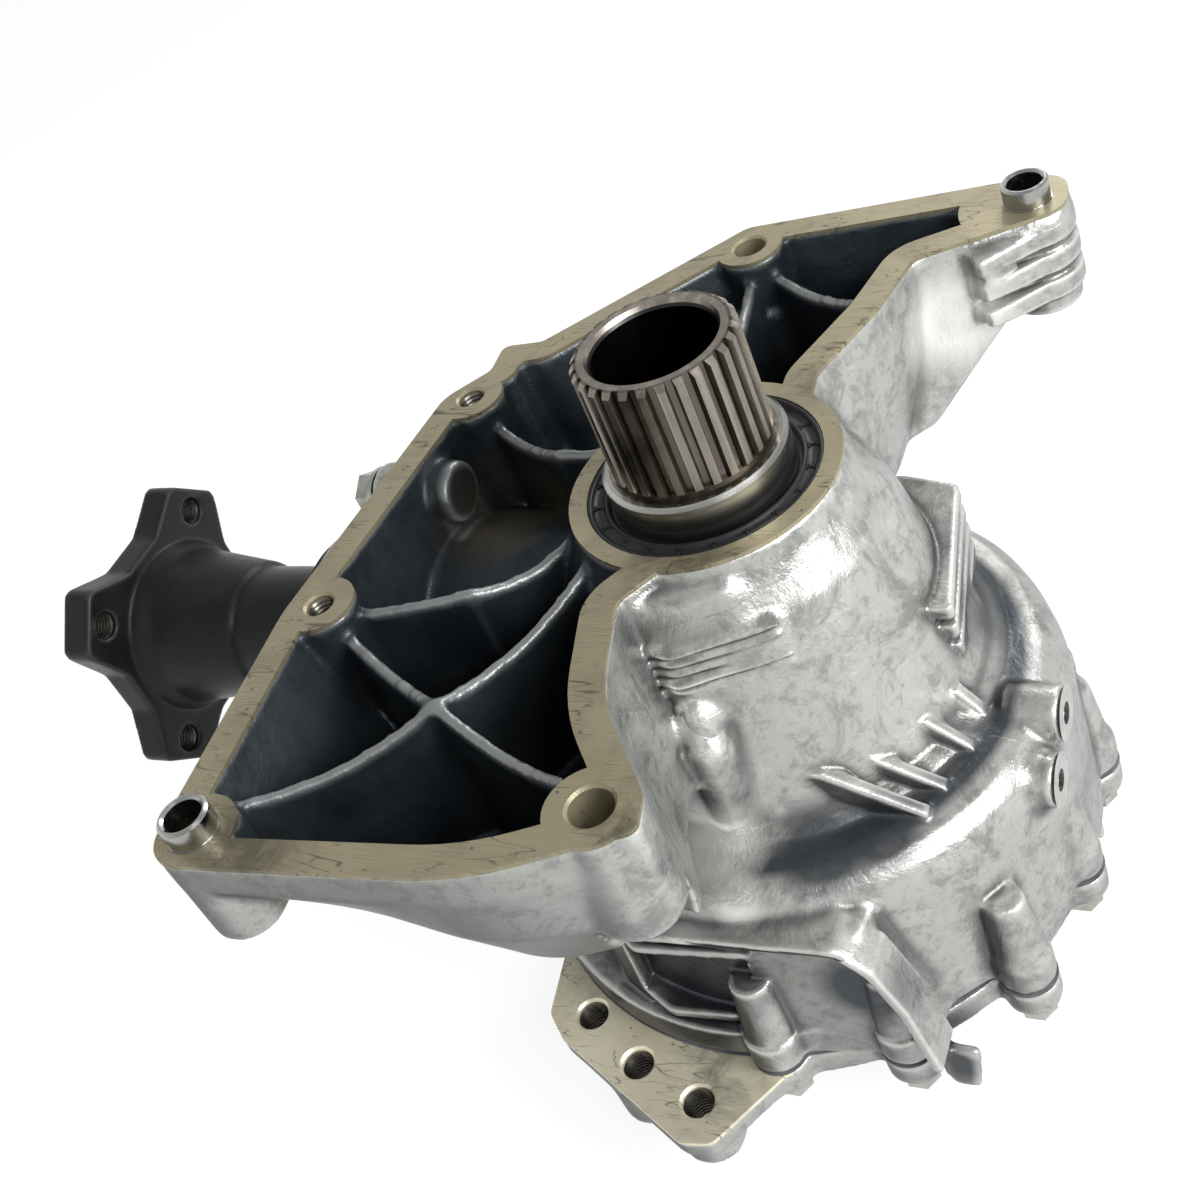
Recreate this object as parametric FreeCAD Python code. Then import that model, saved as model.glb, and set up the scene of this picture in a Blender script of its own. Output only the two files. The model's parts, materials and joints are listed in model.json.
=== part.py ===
"""Transfer case of a transverse all-wheel-drive car: casting, bevel gear pair and drive flange.

Units are millimetres. The origin is on the axis of the hollow input shaft, in the machined face
that bolts to the gearbox. +Z runs along the shaft towards the gearbox, and -X runs along the
drive pinion towards the propeller shaft.
"""
import FreeCAD, Part
import math
import os

from FreeCAD import Vector

# Mounting face and its pan: outline corners (x, y, corner radius) at the machined face
FACE_OUTLINE = [
    (-112.8, -153.8, 11.5),
    (-16.0, -148.0, 90.0),
    (27.0, -128.8, 3.5),
    (24.5, -117.5, 12.0),
    (1.0, -88.0, 60.0),
    (-8.2, -53.5, 8.0),
    (4.0, -36.0, 1.0),
    (24.0, 33.0, 1.0),
    (22.5, 44.0, 9.0),
    (33.8, 76.0, 30.0),
    (38.8, 101.0, 6.0),
    (83.0, 121.5, 9.0),
    (80.5, 143.0, 11.0),
    (-27.5, 129.9, 8.0),
    (-85.5, 71.6, 5.0),
    (-100.5, 70.5, 3.0),
    (-99.6, 57.0, 5.0),
    (-112.0, 43.0, 14.0),
    (-120.6, -60.0, 40.0),
]
# The same corners where the walls begin to slope in steeply
WAIST_OUTLINE = [
    (-100.0, -132.0, 15.0),
    (-17.0, -145.5, 70.0),
    (24.5, -126.5, 5.0),
    (22.0, -115.0, 12.0),
    (2.0, -86.0, 50.0),
    (-5.0, -53.0, 8.0),
    (5.0, -36.0, 1.0),
    (24.0, 33.0, 1.0),
    (23.5, 44.5, 9.0),
    (32.0, 75.0, 25.0),
    (36.0, 99.0, 6.0),
    (62.0, 113.0, 7.0),
    (60.0, 130.0, 9.0),
    (-23.0, 120.0, 8.0),
    (-80.0, 66.0, 5.0),
    (-93.0, 65.0, 3.0),
    (-92.0, 53.0, 5.0),
    (-104.0, 39.0, 14.0),
    (-110.0, -56.0, 35.0),
]
# The same corners where the pan's walls meet its floor
FLOOR_OUTLINE = [
    (-85.0, -112.0, 20.0),
    (-22.0, -131.0, 35.0),
    (18.0, -115.0, 6.0),
    (16.0, -105.0, 10.0),
    (3.0, -82.0, 40.0),
    (0.0, -52.0, 8.0),
    (6.0, -36.0, 1.0),
    (24.0, 33.0, 1.0),
    (25.0, 45.0, 9.0),
    (28.0, 70.0, 20.0),
    (27.0, 84.0, 6.0),
    (35.0, 93.0, 6.0),
    (34.0, 104.0, 8.0),
    (-16.0, 104.0, 8.0),
    (-72.0, 58.0, 5.0),
    (-82.0, 57.0, 3.0),
    (-84.0, 48.0, 5.0),
    (-95.0, 34.0, 14.0),
    (-99.0, -52.0, 30.0),
]
flange_depth = 12.0
waist_depth = 34.0
pan_depth = 62.0
pan_floor = 6.0
rim_width = 10.0
wall = 6.0
least_radius = 0.5

# Holes in the mounting face
DOWEL_1 = (-101.9, -141.3)
DOWEL_2 = (69.8, 128.4)
THROUGH_HOLE = (12.2, -122.8)
PLAIN_HOLE = (-23.3, 118.2)
TAPPED_HOLES = [(-108.9, -55.7), (-101.2, 42.8)]
through_hole_r = 6.25
plain_hole_r = 5.6
tapped_hole_r = 4.5
tapped_depth = 22.0
hole_chamfer = 0.8
hole_boss_r = 11.5
plain_hole_length = 24.0
spotface_r = 10.5
spotface_wall = 3.5
through_boss_r = 12.8
through_boss_depth = 40.0
dowel_boss_r = 11.8
dowel_1_boss_depth = 35.0
dowel_2_boss_depth = 37.0
dowel_web_r = 22.0

# Webs in the pocket
RIB_CROSS = (-52.8, -89.0)
RIB_KNEE_1 = (-62.0, -45.0)
RIB_KNEE_2 = (-58.0, 17.5)
rib_t = 4.0
rib_top = -4.0
rib_dip = 6.0

# Dowel sleeves
sleeve_r = 7.6
sleeve_bore_r = 5.6
sleeve_press_r = 7.9
sleeve_press_end = 0.3
sleeve_stand = 7.1
sleeve_seat = 9.0
sleeve_chamfer = 0.7

# Neck, shoulder and chamber, all turned about the input shaft
ring_r = 41.6
neck_foot_r = 66.0
neck_foot_z = -79.0
ledge_z = -83.0
shoulder_r = 87.0
chamber_wall_r = 88.0
SHOULDER_SHIFT = (3.5, -6.0)
joint_z = -150.0
chamber_r = 80.5
chamber_roof_z = -87.0
neck_cavity_r = 46.0
neck_cavity_foot_r = 57.0
joint_flange_r = 89.5
joint_flange_h = 12.0
JOINT_FLANGE_SHIFT = (-6.0, -8.0)
joint_flange_wide_r = 93.5

# Flat apron on the -Y side of the chamber: plan corners at its foot and at its top
APRON_FOOT = [
    (-52.0, -60.0, 3.0),
    (-44.0, -88.0, 8.0),
    (-20.0, -100.0, 8.0),
    (16.0, -98.0, 3.0),
    (57.0, -92.0, 3.0),
    (62.0, -60.0, 3.0),
]
APRON_TOP = [
    (-46.0, -60.0, 3.0),
    (-42.0, -84.0, 8.0),
    (-26.0, -96.5, 5.0),
    (14.0, -93.8, 3.0),
    (48.0, -90.5, 2.0),
    (52.0, -60.0, 3.0),
]
apron_top_z = -93.0
# Each core pocket of the apron: its x range and its z range
APRON_POCKETS = [
    ((-32.0, 13.0), (-99.0, -103.5)),
    ((-32.0, 11.0), (-106.5, -133.5)),
    ((-30.0, 1.0), (-137.0, -146.0)),
]
apron_pocket_back = -86.0
# Parting rib of the apron, as (x, z) points on its front
APRON_RIB = [(-26.0, -96.0), (42.0, -92.5), (51.0, -100.0), (57.0, -119.0), (61.0, -148.0)]
apron_rib_t = 3.0
apron_rib_front = -99.0
apron_rib_back = -84.0

# Buttress between the pan and the neck: plan corners at three heights
BUTTRESS_TOP = [(-20.0, -30.0, 3.0), (-4.5, -52.5, 3.0), (22.0, -42.0, 3.0), (18.0, -20.0, 3.0)]
BUTTRESS_WAIST = [(-20.0, -30.0, 3.0), (0.0, -59.0, 3.0), (30.0, -46.5, 3.0), (20.0, -20.0, 3.0)]
BUTTRESS_FOOT = [(-34.0, -30.0, 3.0), (-4.5, -64.0, 3.0), (33.0, -58.0, 3.0), (22.0, -20.0, 3.0)]
buttress_top_z = -6.0
buttress_waist_z = -41.0
buttress_foot_z = -90.0
FINGER = (5.0, -58.5)
finger_r = 6.5
finger_top_z = -41.0

# Round bosses on the +X side of the chamber: (y, z) of each
SIDE_BOSSES = [(-10.5, -87.5), (-28.0, -97.0)]
side_boss_r = 8.5
side_boss_face = 92.0
side_boss_back = 74.0
side_hole_r = 3.4
side_hole_depth = 9.0

# Stacked plates on the neck: cooling steps on the +X side, grip ribs on the -Y side
STEP_OUTLINE = [
    (8.0, 30.0, 1.0),
    (40.0, -8.0, 1.0),
    (65.0, -6.0, 2.0),
    (55.0, 48.5, 3.0),
    (12.0, 60.0, 1.0),
]
step_count = 4
step_top_z = -49.0
step_pitch = 7.6
step_t = 5.0
GRIP_OUTLINE = [
    (-12.0, -36.0, 1.0),
    (-5.0, -57.0, 1.5),
    (3.0, -59.5, 2.0),
    (33.0, -43.5, 1.0),
    (22.0, -24.0, 1.0),
]
grip_count = 5
grip_top_z = -18.0
grip_pitch = 3.4
grip_t = 2.0
# Rings round the second dowel's boss
dowel_ring_r = 13.6
dowel_ring_count = 3
dowel_ring_top_z = -4.0
dowel_ring_pitch = 10.0
dowel_ring_t = 7.0
dowel_ring_tail = (50.0, 110.0)

# Gussets at the foot of the neck: (y, first x, last x, height above the ledge)
GUSSETS = [
    (-56.0, 26.0, 62.0, 16.0),
    (-46.0, 36.0, 65.0, 13.0),
    (-31.0, 50.0, 70.0, 12.0),
    (-18.0, 56.0, 71.0, 11.0),
]
gusset_t = 4.5

# Joint of the housing and the end cover
# Each cover bolt: angle about the shaft and distance from it
COVER_BOLTS = [
    (-84.0, 98.0), (-61.0, 101.0), (-37.0, 99.0), (-12.0, 88.0), (16.0, 87.5), (42.0, 87.5),
    (70.0, 88.0), (104.0, 89.0), (140.0, 92.0), (180.0, 95.0), (-142.0, 95.0),
]
bolt_lobe_r = 9.0
bolt_tower_h = 36.0
bolt_tower_lean = 2.0
bolt_tower_top_r = 6.6
cover_bolt_r = 4.0
cover_bolt_head_r = 7.0
cover_bolt_head_h = 6.5
cover_bolt_reach = 22.0
gasket_t = 0.5

# End cover with its mounting pad
cover_flange_t = 11.0
cover_wall = 6.0
cover_bowl_r = 76.0
cover_bowl_foot_r = 52.0
cover_depth = 38.0
cover_boss_r = 50.0
cover_hub_r = 40.0
PAD_OUTLINE = [
    (-82.0, -40.0, 4.0),
    (-72.5, -97.0, 6.0),
    (-64.0, -105.5, 5.0),
    (-12.0, -133.0, 6.0),
    (-2.0, -131.5, 5.0),
    (15.0, -104.0, 3.0),
    (10.0, -40.0, 3.0),
]
PAD_HOLES = [(-57.3, -94.8), (-35.1, -109.5), (-10.8, -118.7)]
pad_t = 9.0
pad_hole_r = 5.25
pad_boss_r = 10.7
pad_boss_depth = 20.0
pad_chamfer = 0.9
FIN_CORNERS = [(40.0, -160.0), (67.5, -160.0), (64.0, -181.0), (40.0, -181.0)]
fin_y = -84.0
fin_t = 4.0

# Input shaft
shaft_bore_r = 18.5
shaft_mouth_r = 19.75
shaft_top_z = 47.4
spline_r = 24.4
spline_root_r = 22.2
spline_teeth = 28
spline_end_z = 11.4
spline_bevel = 1.6
collar_r = 28.0
collar_top_z = 9.9
collar_bevel = 1.2
shaft_shoulder_r = 33.0
shaft_body_r = 31.0
gear_pilot_r = 44.0
gear_flange_r = 70.0
gear_flange_t = 10.0
rear_shoulder_r = 35.0
rear_journal_r = 30.0
shaft_end_gap = 4.0

# Bearings: bore radius, outer radius, width, roller count
front_bearing_z = -22.0
front_bearing = (28.0, 41.0, 22.0, 20)
rear_bearing_gap = 12.0
rear_bearing = (30.0, 44.0, 22.0, 18)
head_bearing = (20.0, 36.0, 24.0, 15)
tail_bearing = (17.5, 32.0, 20.0, 15)
contact_angle = 12.0
roller_share = 0.235
roller_clearance = 0.04
roller_sides = 12
cage_t = 1.6
cage_gap = 0.2
shim_t = 2.0

# Seals
seal_r = 36.0
seal_depth = 11.0
seal_inset = 0.6
seal_fit = 0.05
seal_throat_r = 35.5
cover_seal_r = 31.0
cover_seal_lip_r = 17.4
cover_seal_w = 10.0
pinion_seal_w = 10.0

# Bevel gear pair
ring_teeth = 34
pinion_teeth = 13
ring_pitch_r = 72.0
face_width = 21.0
backlash = 0.35
pressure_angle = 20.0
pinion_z = -68.6
ring_back_z = -116.0
ring_outer_r = 75.0
gear_bolt_count = 10
gear_bolt_circle_r = 57.0
gear_bolt_r = 5.0
gear_bolt_head_r = 8.0
gear_bolt_head_h = 6.5
gear_bolt_grip = 10.0

# Drive pinion and its barrel, measured outwards from the shaft axis
head_back = 76.0
bearing_land = 16.0
barrel_head_r = 42.0
barrel_tail_r = 38.0
barrel_end = 156.0
seal_start = 144.0
throat_r = 29.0
spacer_r = 23.0
pinion_spline_r = 16.0
pinion_thread_r = 10.0
pinion_end = 249.0

# Output flange
flange_face = 242.0
flange_t = 13.0
flange_hub_r = 29.5
flange_waist_r = 24.5
flange_waist = 202.0
flange_journal_r = 22.5
flange_bolt_circle_r = 44.0
flange_bolts = 4
flange_turn = 45.0
flange_hole_r = 5.1
lobe_reach = 52.5
lobe_half_tip = 12.0
lobe_half_root = 19.0
lobe_root_r = 33.0
nut_seat = 230.0
nut_pocket_r = 21.0
nut_r = 15.0
nut_h = 14.0
washer_r = 20.0
washer_t = 3.0
shield_r = 34.0
shield_t = 1.5

# Plugs and breather
plug_y = 12.0
plug_z = -15.0
plug_boss_r = 10.5
plug_boss_x = -127.0
plug_boss_inner_x = -96.0
plug_r = 6.0
plug_head_r = 8.2
plug_head_h = 6.0
washer_h = 1.5
drain_r = 9.0
drain_head_r = 12.0
drain_seat = 14.0
DRAIN_AT = (58.0, -28.0)

O = Vector(0, 0, 0)
Z = Vector(0, 0, 1)
Y = Vector(0, 1, 0)
X = Vector(1, 0, 0)


def at(x, y, z=0.0):
    return Vector(x, y, z)


def polar(radius, degrees, z=0.0):
    """Point at a radius and angle about the shaft axis."""
    turn = math.radians(degrees)
    return Vector(radius * math.cos(turn), radius * math.sin(turn), z)


def rod(radius, z_low, z_high, x=0.0, y=0.0):
    """Upright cylinder between two heights."""
    return Part.makeCylinder(radius, z_high - z_low, at(x, y, z_low), Z)


def turned(profile):
    """Solid of revolution about Z from (radius, z) points."""
    points = [Vector(r, 0, z) for r, z in profile]
    return Part.Face(Part.makePolygon(points + points[:1])).revolve(O, Z, 360)


def ring(inner, outer, z_low, z_high):
    """Plain upright tube."""
    return turned([(inner, z_low), (outer, z_low), (outer, z_high), (inner, z_high)])


def rounded_outline(corners, z):
    """Closed wire of straight sides and corner arcs at one height."""
    count = len(corners)
    ends = []
    for i, (x, y, radius) in enumerate(corners):
        here = at(x, y, z)
        before = at(*corners[i - 1][:2], z) - here
        after = at(*corners[(i + 1) % count][:2], z) - here
        half_angle = before.getAngle(after) / 2
        room = 0.45 * min(before.Length, after.Length)
        reach = min(max(radius, least_radius) / math.tan(half_angle), room)
        bow = reach / math.cos(half_angle) - reach * math.tan(half_angle)
        middle = (before.normalize() + after.normalize()).normalize() * bow
        ends.append((here + before * reach, here + middle, here + after * reach))
    edges = []
    for i, (start, middle, stop) in enumerate(ends):
        edges.append(Part.Arc(start, middle, stop).toShape())
        edges.append(Part.makeLine(stop, ends[(i + 1) % count][0]))
    return Part.Wire(edges)


def inset(corners, distance):
    """Corners of the outline that runs a fixed distance inside another one."""
    moved = []
    count = len(corners)
    for i, (x, y, radius) in enumerate(corners):
        here = at(x, y)
        into = (here - at(*corners[i - 1][:2])).normalize()
        out = (at(*corners[(i + 1) % count][:2]) - here).normalize()
        turn = into.cross(out).z
        spread = 1 + into.dot(out)
        shift = (Z.cross(into) + Z.cross(out)) * (distance / spread)
        change = -distance if turn > 0 else distance
        moved.append((x + shift.x, y + shift.y, max(radius + change, wall)))
    return moved


def prism(corners, z_low, z_high):
    """Upright solid with a rounded outline."""
    return Part.Face(rounded_outline(corners, z_low)).extrude(at(0, 0, z_high - z_low))


def tapered_prism(*levels):
    """Solid whose rounded outline changes steadily from one (corners, height) level to the next."""
    wires = [rounded_outline(corners, z) for corners, z in levels]
    return Part.makeLoft(wires, True, True)


def along_pinion(shape):
    """Lay a part that was made along +Z on the pinion axis, pointing out along -X."""
    shape.rotate(O, Y, -90)
    shape.translate(at(0, 0, pinion_z))
    return shape


def rib(start, end, thickness, z_low, z_high, dip=0.0):
    """Upright web between two plan points, whose top edge may dip in the middle."""
    a = at(start[0], start[1], z_low)
    b = at(end[0], end[1], z_low)
    side = Z.cross(b - a).normalize() * (thickness / 2)
    up = at(0, 0, z_high - z_low)
    middle = (a + b) * 0.5 + up - at(0, 0, dip)
    edges = [
        Part.makeLine(a, b),
        Part.makeLine(b, b + up),
        Part.Arc(b + up, middle, a + up).toShape() if dip else Part.makeLine(b + up, a + up),
        Part.makeLine(a + up, a),
    ]
    web = Part.Face(Part.Wire(edges))
    web.translate(side * -1)
    return web.extrude(side * 2)


def hexagon(across_corners_r, height, z_low):
    """Hexagonal prism about Z."""
    points = [polar(across_corners_r, 60 * i, z_low) for i in range(7)]
    return Part.Face(Part.makePolygon(points)).extrude(at(0, 0, height))


def chamfered_hole(radius, x, y, z_top, depth, chamfer):
    """Drill with a countersunk mouth, for cutting from a face that looks up."""
    drill = rod(radius, z_top - depth, z_top + 1, x, y)
    mouth = Part.makeCone(radius, radius + chamfer, chamfer, at(x, y, z_top - chamfer), Z)
    return drill.fuse(mouth)


# Heights and places that follow from the sizes above
front_race_end = front_bearing_z - front_bearing[2]
gear_flange_z = ring_back_z - gear_flange_t
rear_shoulder_z = gear_flange_z - rear_bearing_gap
rear_race_end = rear_shoulder_z - rear_bearing[2]
shaft_end_z = rear_race_end - shaft_end_gap
cover_top_z = joint_z - gasket_t
cover_bottom_z = joint_z - cover_depth
head_bearing_start = head_back + shim_t
head_bearing_end = head_bearing_start + head_bearing[2]
tail_bearing_start = head_bearing_end + bearing_land
tail_bearing_end = tail_bearing_start + tail_bearing[2]


def neck_profile():
    """Outside of the neck, from the seal ring down to the ledge at its foot."""
    return [
        (0, 0),
        (ring_r, 0),
        (ring_r + 1.4, -7),
        (ring_r + 8.5, -20),
        (ring_r + 12.5, -33),
        (ring_r + 16.0, -50),
        (neck_foot_r - 3.0, neck_foot_z + 11),
        (neck_foot_r + 1.0, neck_foot_z),
        (neck_foot_r + 6.0, ledge_z + 1),
        (neck_foot_r + 6.0, ledge_z - 5),
        (0, ledge_z - 5),
    ]


def shoulder_profile():
    """Outside of the chamber: flat ledge, rounded shoulder and wall."""
    return [
        (0, ledge_z),
        (shoulder_r - 14.0, ledge_z),
        (shoulder_r - 7.0, ledge_z - 2),
        (shoulder_r - 2.5, ledge_z - 6),
        (shoulder_r, ledge_z - 13),
        (chamber_wall_r, joint_z),
        (0, joint_z),
    ]


def neck_outside():
    """Neck with the chamber below it, which bulges towards the apron."""
    chamber = turned(shoulder_profile())
    bulge = chamber.translated(at(*SHOULDER_SHIFT))
    return turned(neck_profile()).multiFuse([chamber, bulge])


def barrel_outside():
    """Tube round the drive pinion, stepped down behind the head bearing."""
    tube = turned([
        (0, 30),
        (barrel_head_r, 30),
        (barrel_head_r, head_bearing_end + 3),
        (barrel_tail_r, tail_bearing_start),
        (barrel_tail_r, barrel_end),
        (0, barrel_end),
    ])
    return along_pinion(tube)


def joint_outline(z_low, z_high):
    """Round joint flange with a lobe at each cover bolt."""
    discs = [
        rod(joint_flange_r, z_low, z_high),
        rod(joint_flange_wide_r, z_low, z_high, *JOINT_FLANGE_SHIFT),
    ]
    for angle, reach in COVER_BOLTS:
        spot = polar(reach, angle)
        discs.append(rod(bolt_lobe_r, z_low, z_high, spot.x, spot.y))
        discs.append(rib((0, 0), (spot.x, spot.y), 2 * bolt_lobe_r - 2.0, z_low, z_high))
    return discs[0].multiFuse(discs[1:])


def bolt_towers():
    """Tapered towers that carry the cover bolts up the chamber wall."""
    towers = []
    for angle, reach in COVER_BOLTS:
        spot = polar(reach, angle, joint_z)
        top = polar(reach - bolt_tower_lean, angle, joint_z + bolt_tower_h)
        towers.append(Part.makeCone(bolt_lobe_r, bolt_tower_top_r, bolt_tower_h, spot, top - spot))
    return towers


def face_bosses():
    """Bosses under the holes of the mounting face."""
    bosses = [
        rod(dowel_boss_r, -dowel_1_boss_depth, 0, *DOWEL_1),
        rod(dowel_boss_r, -dowel_2_boss_depth, 0, *DOWEL_2),
        rod(through_boss_r, -through_boss_depth, 0, *THROUGH_HOLE),
    ]
    return bosses + dowel_rings()


def lying_rod(radius, x_low, x_high, y, z):
    """Cylinder along X between two places."""
    return Part.makeCylinder(radius, x_high - x_low, at(x_low, y, z), X)


def plug_boss():
    """Boss of the side plug, which comes through the pan's wall into the pocket."""
    return lying_rod(plug_boss_r, plug_boss_x, plug_boss_inner_x, plug_y, plug_z)


def pocket_keeps():
    """Material that stays standing inside the pocket: neck, barrel, bosses and ribs."""
    keeps = [neck_outside(), barrel_outside()]
    keeps += [
        rod(dowel_boss_r + 0.8, -pan_depth, 0, *DOWEL_1),
        rod(dowel_web_r, -pan_depth, 0, *DOWEL_2),
        rod(through_boss_r, -pan_depth, 0, *THROUGH_HOLE),
        rod(through_boss_r + spotface_wall, -pan_depth, spotface_wall - through_boss_depth, *THROUGH_HOLE),
        rod(hole_boss_r, -pan_depth, 0, *PLAIN_HOLE),
        rod(spotface_r + spotface_wall, -pan_depth, spotface_wall - plain_hole_length, *PLAIN_HOLE),
    ]
    keeps += [rod(hole_boss_r, -pan_depth, 0, x, y) for x, y in TAPPED_HOLES]
    keeps.append(plug_boss())
    keeps += pocket_ribs()
    return keeps


def pocket_ribs():
    """Cast webs across the pocket: where each starts and ends, and the dip of its top edge."""
    tapped_1, tapped_2 = TAPPED_HOLES
    courses = [
        (tapped_1, RIB_KNEE_1, 2.0),
        (RIB_KNEE_1, (-36.0, -14.0), rib_dip),
        (tapped_1, RIB_CROSS, rib_dip),
        (RIB_CROSS, (-2.0, -112.5), rib_dip),
        ((-104.0, -130.0), RIB_CROSS, rib_dip),
        (RIB_CROSS, (-27.0, -30.0), rib_dip),
        (tapped_2, RIB_KNEE_2, rib_dip),
        (RIB_KNEE_2, (-38.0, 19.0), 1.0),
        (PLAIN_HOLE, (-14.0, 38.0), rib_dip),
        (PLAIN_HOLE, (24.0, 87.0), rib_dip),
    ]
    return [rib(start, end, rib_t, -pan_depth, rib_top, dip) for start, end, dip in courses]


def pocket_void():
    """Open pocket of the mounting face, between its walls, bosses and ribs."""
    void = tapered_prism(
        (inset(FACE_OUTLINE, rim_width), 1.0), (inset(FACE_OUTLINE, rim_width), -2.0),
        (inset(WAIST_OUTLINE, wall), -waist_depth), (inset(FLOOR_OUTLINE, wall), pan_floor - pan_depth))
    keeps = pocket_keeps()
    return void.cut(keeps[0].multiFuse(keeps[1:]))


def neck_gussets():
    """Short webs between the foot of the neck and the ledge, all running along X."""
    webs = []
    for y, x_start, x_end, height in GUSSETS:
        corners = [at(x_start, y, ledge_z - 2), at(x_end, y, ledge_z - 2), at(x_end, y, ledge_z + 1),
                   at(x_start + 8, y, ledge_z + height), at(x_start, y, ledge_z + height)]
        web = Part.Face(Part.makePolygon(corners + corners[:1]))
        webs.append(web.extrude(at(0, gusset_t, 0)))
    return webs


def stacked_plates(corners, count, z_top, pitch, thickness):
    """Pile of thin level plates of one outline."""
    return [prism(corners, z_top - pitch * i - thickness, z_top - pitch * i) for i in range(count)]


def apron():
    """Flat-faced wall in front of the gear chamber, with two open core pockets."""
    block = tapered_prism((APRON_FOOT, joint_z), (APRON_TOP, apron_top_z))
    for (x_low, x_high), (z_high, z_low) in APRON_POCKETS:
        pocket = Part.makeBox(x_high - x_low, 40, z_high - z_low, at(x_low, apron_pocket_back - 40, z_low))
        block = block.cut(pocket)
    return block


def apron_rib():
    """Raised parting rib along the top and the right edge of the apron."""
    pieces = []
    for (x1, z1), (x2, z2) in zip(APRON_RIB, APRON_RIB[1:]):
        along = at(x2 - x1, 0, z2 - z1)
        side = along.cross(Y).normalize() * (apron_rib_t / 2)
        start, end = at(x1, apron_rib_back, z1), at(x2, apron_rib_back, z2)
        corners = [start + side, end + side, end - side, start - side]
        bar = Part.Face(Part.makePolygon(corners + corners[:1]))
        pieces.append(bar.extrude(at(0, apron_rib_front - apron_rib_back, 0)))
        depth = apron_rib_back - apron_rib_front
        pieces.append(Part.makeCylinder(apron_rib_t / 2, depth, at(x1, apron_rib_front, z1), Y))
    return pieces


def buttress():
    """Wall that carries the pan's corner down to the ledge, with a round finger on its face."""
    block = tapered_prism(
        (BUTTRESS_FOOT, buttress_foot_z),
        (BUTTRESS_WAIST, buttress_waist_z),
        (BUTTRESS_TOP, buttress_top_z),
    )
    finger = rod(finger_r, buttress_foot_z, finger_top_z, *FINGER)
    return [block, finger, Part.makeSphere(finger_r, at(*FINGER, finger_top_z))]


def side_bosses():
    return [lying_rod(side_boss_r, side_boss_back, side_boss_face, y, z) for y, z in SIDE_BOSSES]


def dowel_rings():
    """Stacked rounded rings of the second dowel's boss, drawn out along the pan's wall."""
    rings = []
    for i in range(dowel_ring_count):
        high = dowel_ring_top_z - dowel_ring_pitch * i
        low = high - dowel_ring_t
        rings.append(rod(dowel_ring_r, low, high, *DOWEL_2))
        rings.append(rib(dowel_ring_tail, DOWEL_2, 2 * dowel_boss_r + 1.5, low, high))
    return rings


def main_housing():
    """Casting: face flange with its ribbed pan, neck, gear chamber and pinion barrel."""
    rim = prism(FACE_OUTLINE, -flange_depth, 0)
    pan = tapered_prism(
        (FLOOR_OUTLINE, -pan_depth),
        (WAIST_OUTLINE, -waist_depth),
        (FACE_OUTLINE, -flange_depth),
    )
    joint = joint_outline(joint_z, joint_z + joint_flange_h)
    pieces = [pan, neck_outside(), barrel_outside(), joint, plug_boss()]
    pieces += bolt_towers() + face_bosses() + neck_gussets()
    pieces += stacked_plates(STEP_OUTLINE, step_count, step_top_z, step_pitch, step_t)
    pieces += stacked_plates(GRIP_OUTLINE, grip_count, grip_top_z, grip_pitch, grip_t)
    pieces.append(apron())
    pieces += apron_rib() + buttress() + side_bosses()
    body = rim.multiFuse(pieces)

    tools = [pocket_void(), seal_seat(), neck_cavity(), pinion_bores()]
    tools.append(chamfered_hole(through_hole_r, *THROUGH_HOLE, 0, through_boss_depth + 30, hole_chamfer))
    tools.append(chamfered_hole(plain_hole_r, *PLAIN_HOLE, 0, pan_depth + 5, hole_chamfer))
    tools.append(rod(through_boss_r, -pan_depth - 5, -through_boss_depth, *THROUGH_HOLE))
    tools.append(rod(spotface_r, -pan_depth - 5, -plain_hole_length, *PLAIN_HOLE))
    for x, y in TAPPED_HOLES:
        tools.append(chamfered_hole(tapped_hole_r, x, y, 0, tapped_depth, hole_chamfer))
    for x, y in (DOWEL_1, DOWEL_2):
        tools.append(rod(sleeve_press_r, -sleeve_seat, 1, x, y))
        tools.append(rod(sleeve_bore_r, -dowel_2_boss_depth - 40, 1, x, y))
    for angle, reach in COVER_BOLTS:
        spot = polar(reach, angle)
        tools.append(rod(cover_bolt_r, joint_z - 1, joint_z + cover_bolt_reach, spot.x, spot.y))
    tools.append(lying_rod(plug_r, plug_boss_x - 1, plug_boss_x + 17, plug_y, plug_z))
    tools.append(rod(joint_flange_r + 4 * bolt_lobe_r, joint_z - bolt_lobe_r, joint_z))
    for y, z in SIDE_BOSSES:
        tools.append(lying_rod(side_hole_r, side_boss_face - side_hole_depth, side_boss_face + 1, y, z))
    body = body.cut(tools[0].multiFuse(tools[1:]))
    return body.removeSplitter()


def seal_seat():
    """Seal bore, throat and front bearing seat in the neck."""
    cup_r = front_bearing[1]
    return turned([
        (0, 1), (seal_r, 1), (seal_r, -seal_depth - seal_inset), (seal_throat_r, -seal_depth - seal_inset),
        (seal_throat_r, front_bearing_z), (cup_r, front_bearing_z), (cup_r, front_race_end - 3),
        (0, front_race_end - 3),
    ])


def neck_cavity():
    """Room round the shaft below the front bearing, and the gear chamber."""
    top = front_race_end - 3
    return turned([
        (0, top), (neck_cavity_r, top),
        (neck_cavity_foot_r - 1, chamber_roof_z + 3), (neck_cavity_foot_r + 2, chamber_roof_z),
        (chamber_r - 8, chamber_roof_z), (chamber_r, chamber_roof_z - 8),
        (chamber_r, joint_z - 1), (0, joint_z - 1),
    ])


def pinion_bores():
    """Stepped bores of the pinion barrel, from the gear chamber out to the seal."""
    head_r = head_bearing[1]
    tail_r = tail_bearing[1]
    bore = turned([
        (0, 36), (27.0, 36), (27.0, 56), (head_r, 56),
        (head_r, head_bearing_end), (throat_r, head_bearing_end),
        (throat_r, tail_bearing_start), (tail_r, tail_bearing_start),
        (tail_r, barrel_end + 1), (0, barrel_end + 1),
    ])
    return along_pinion(bore)


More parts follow.
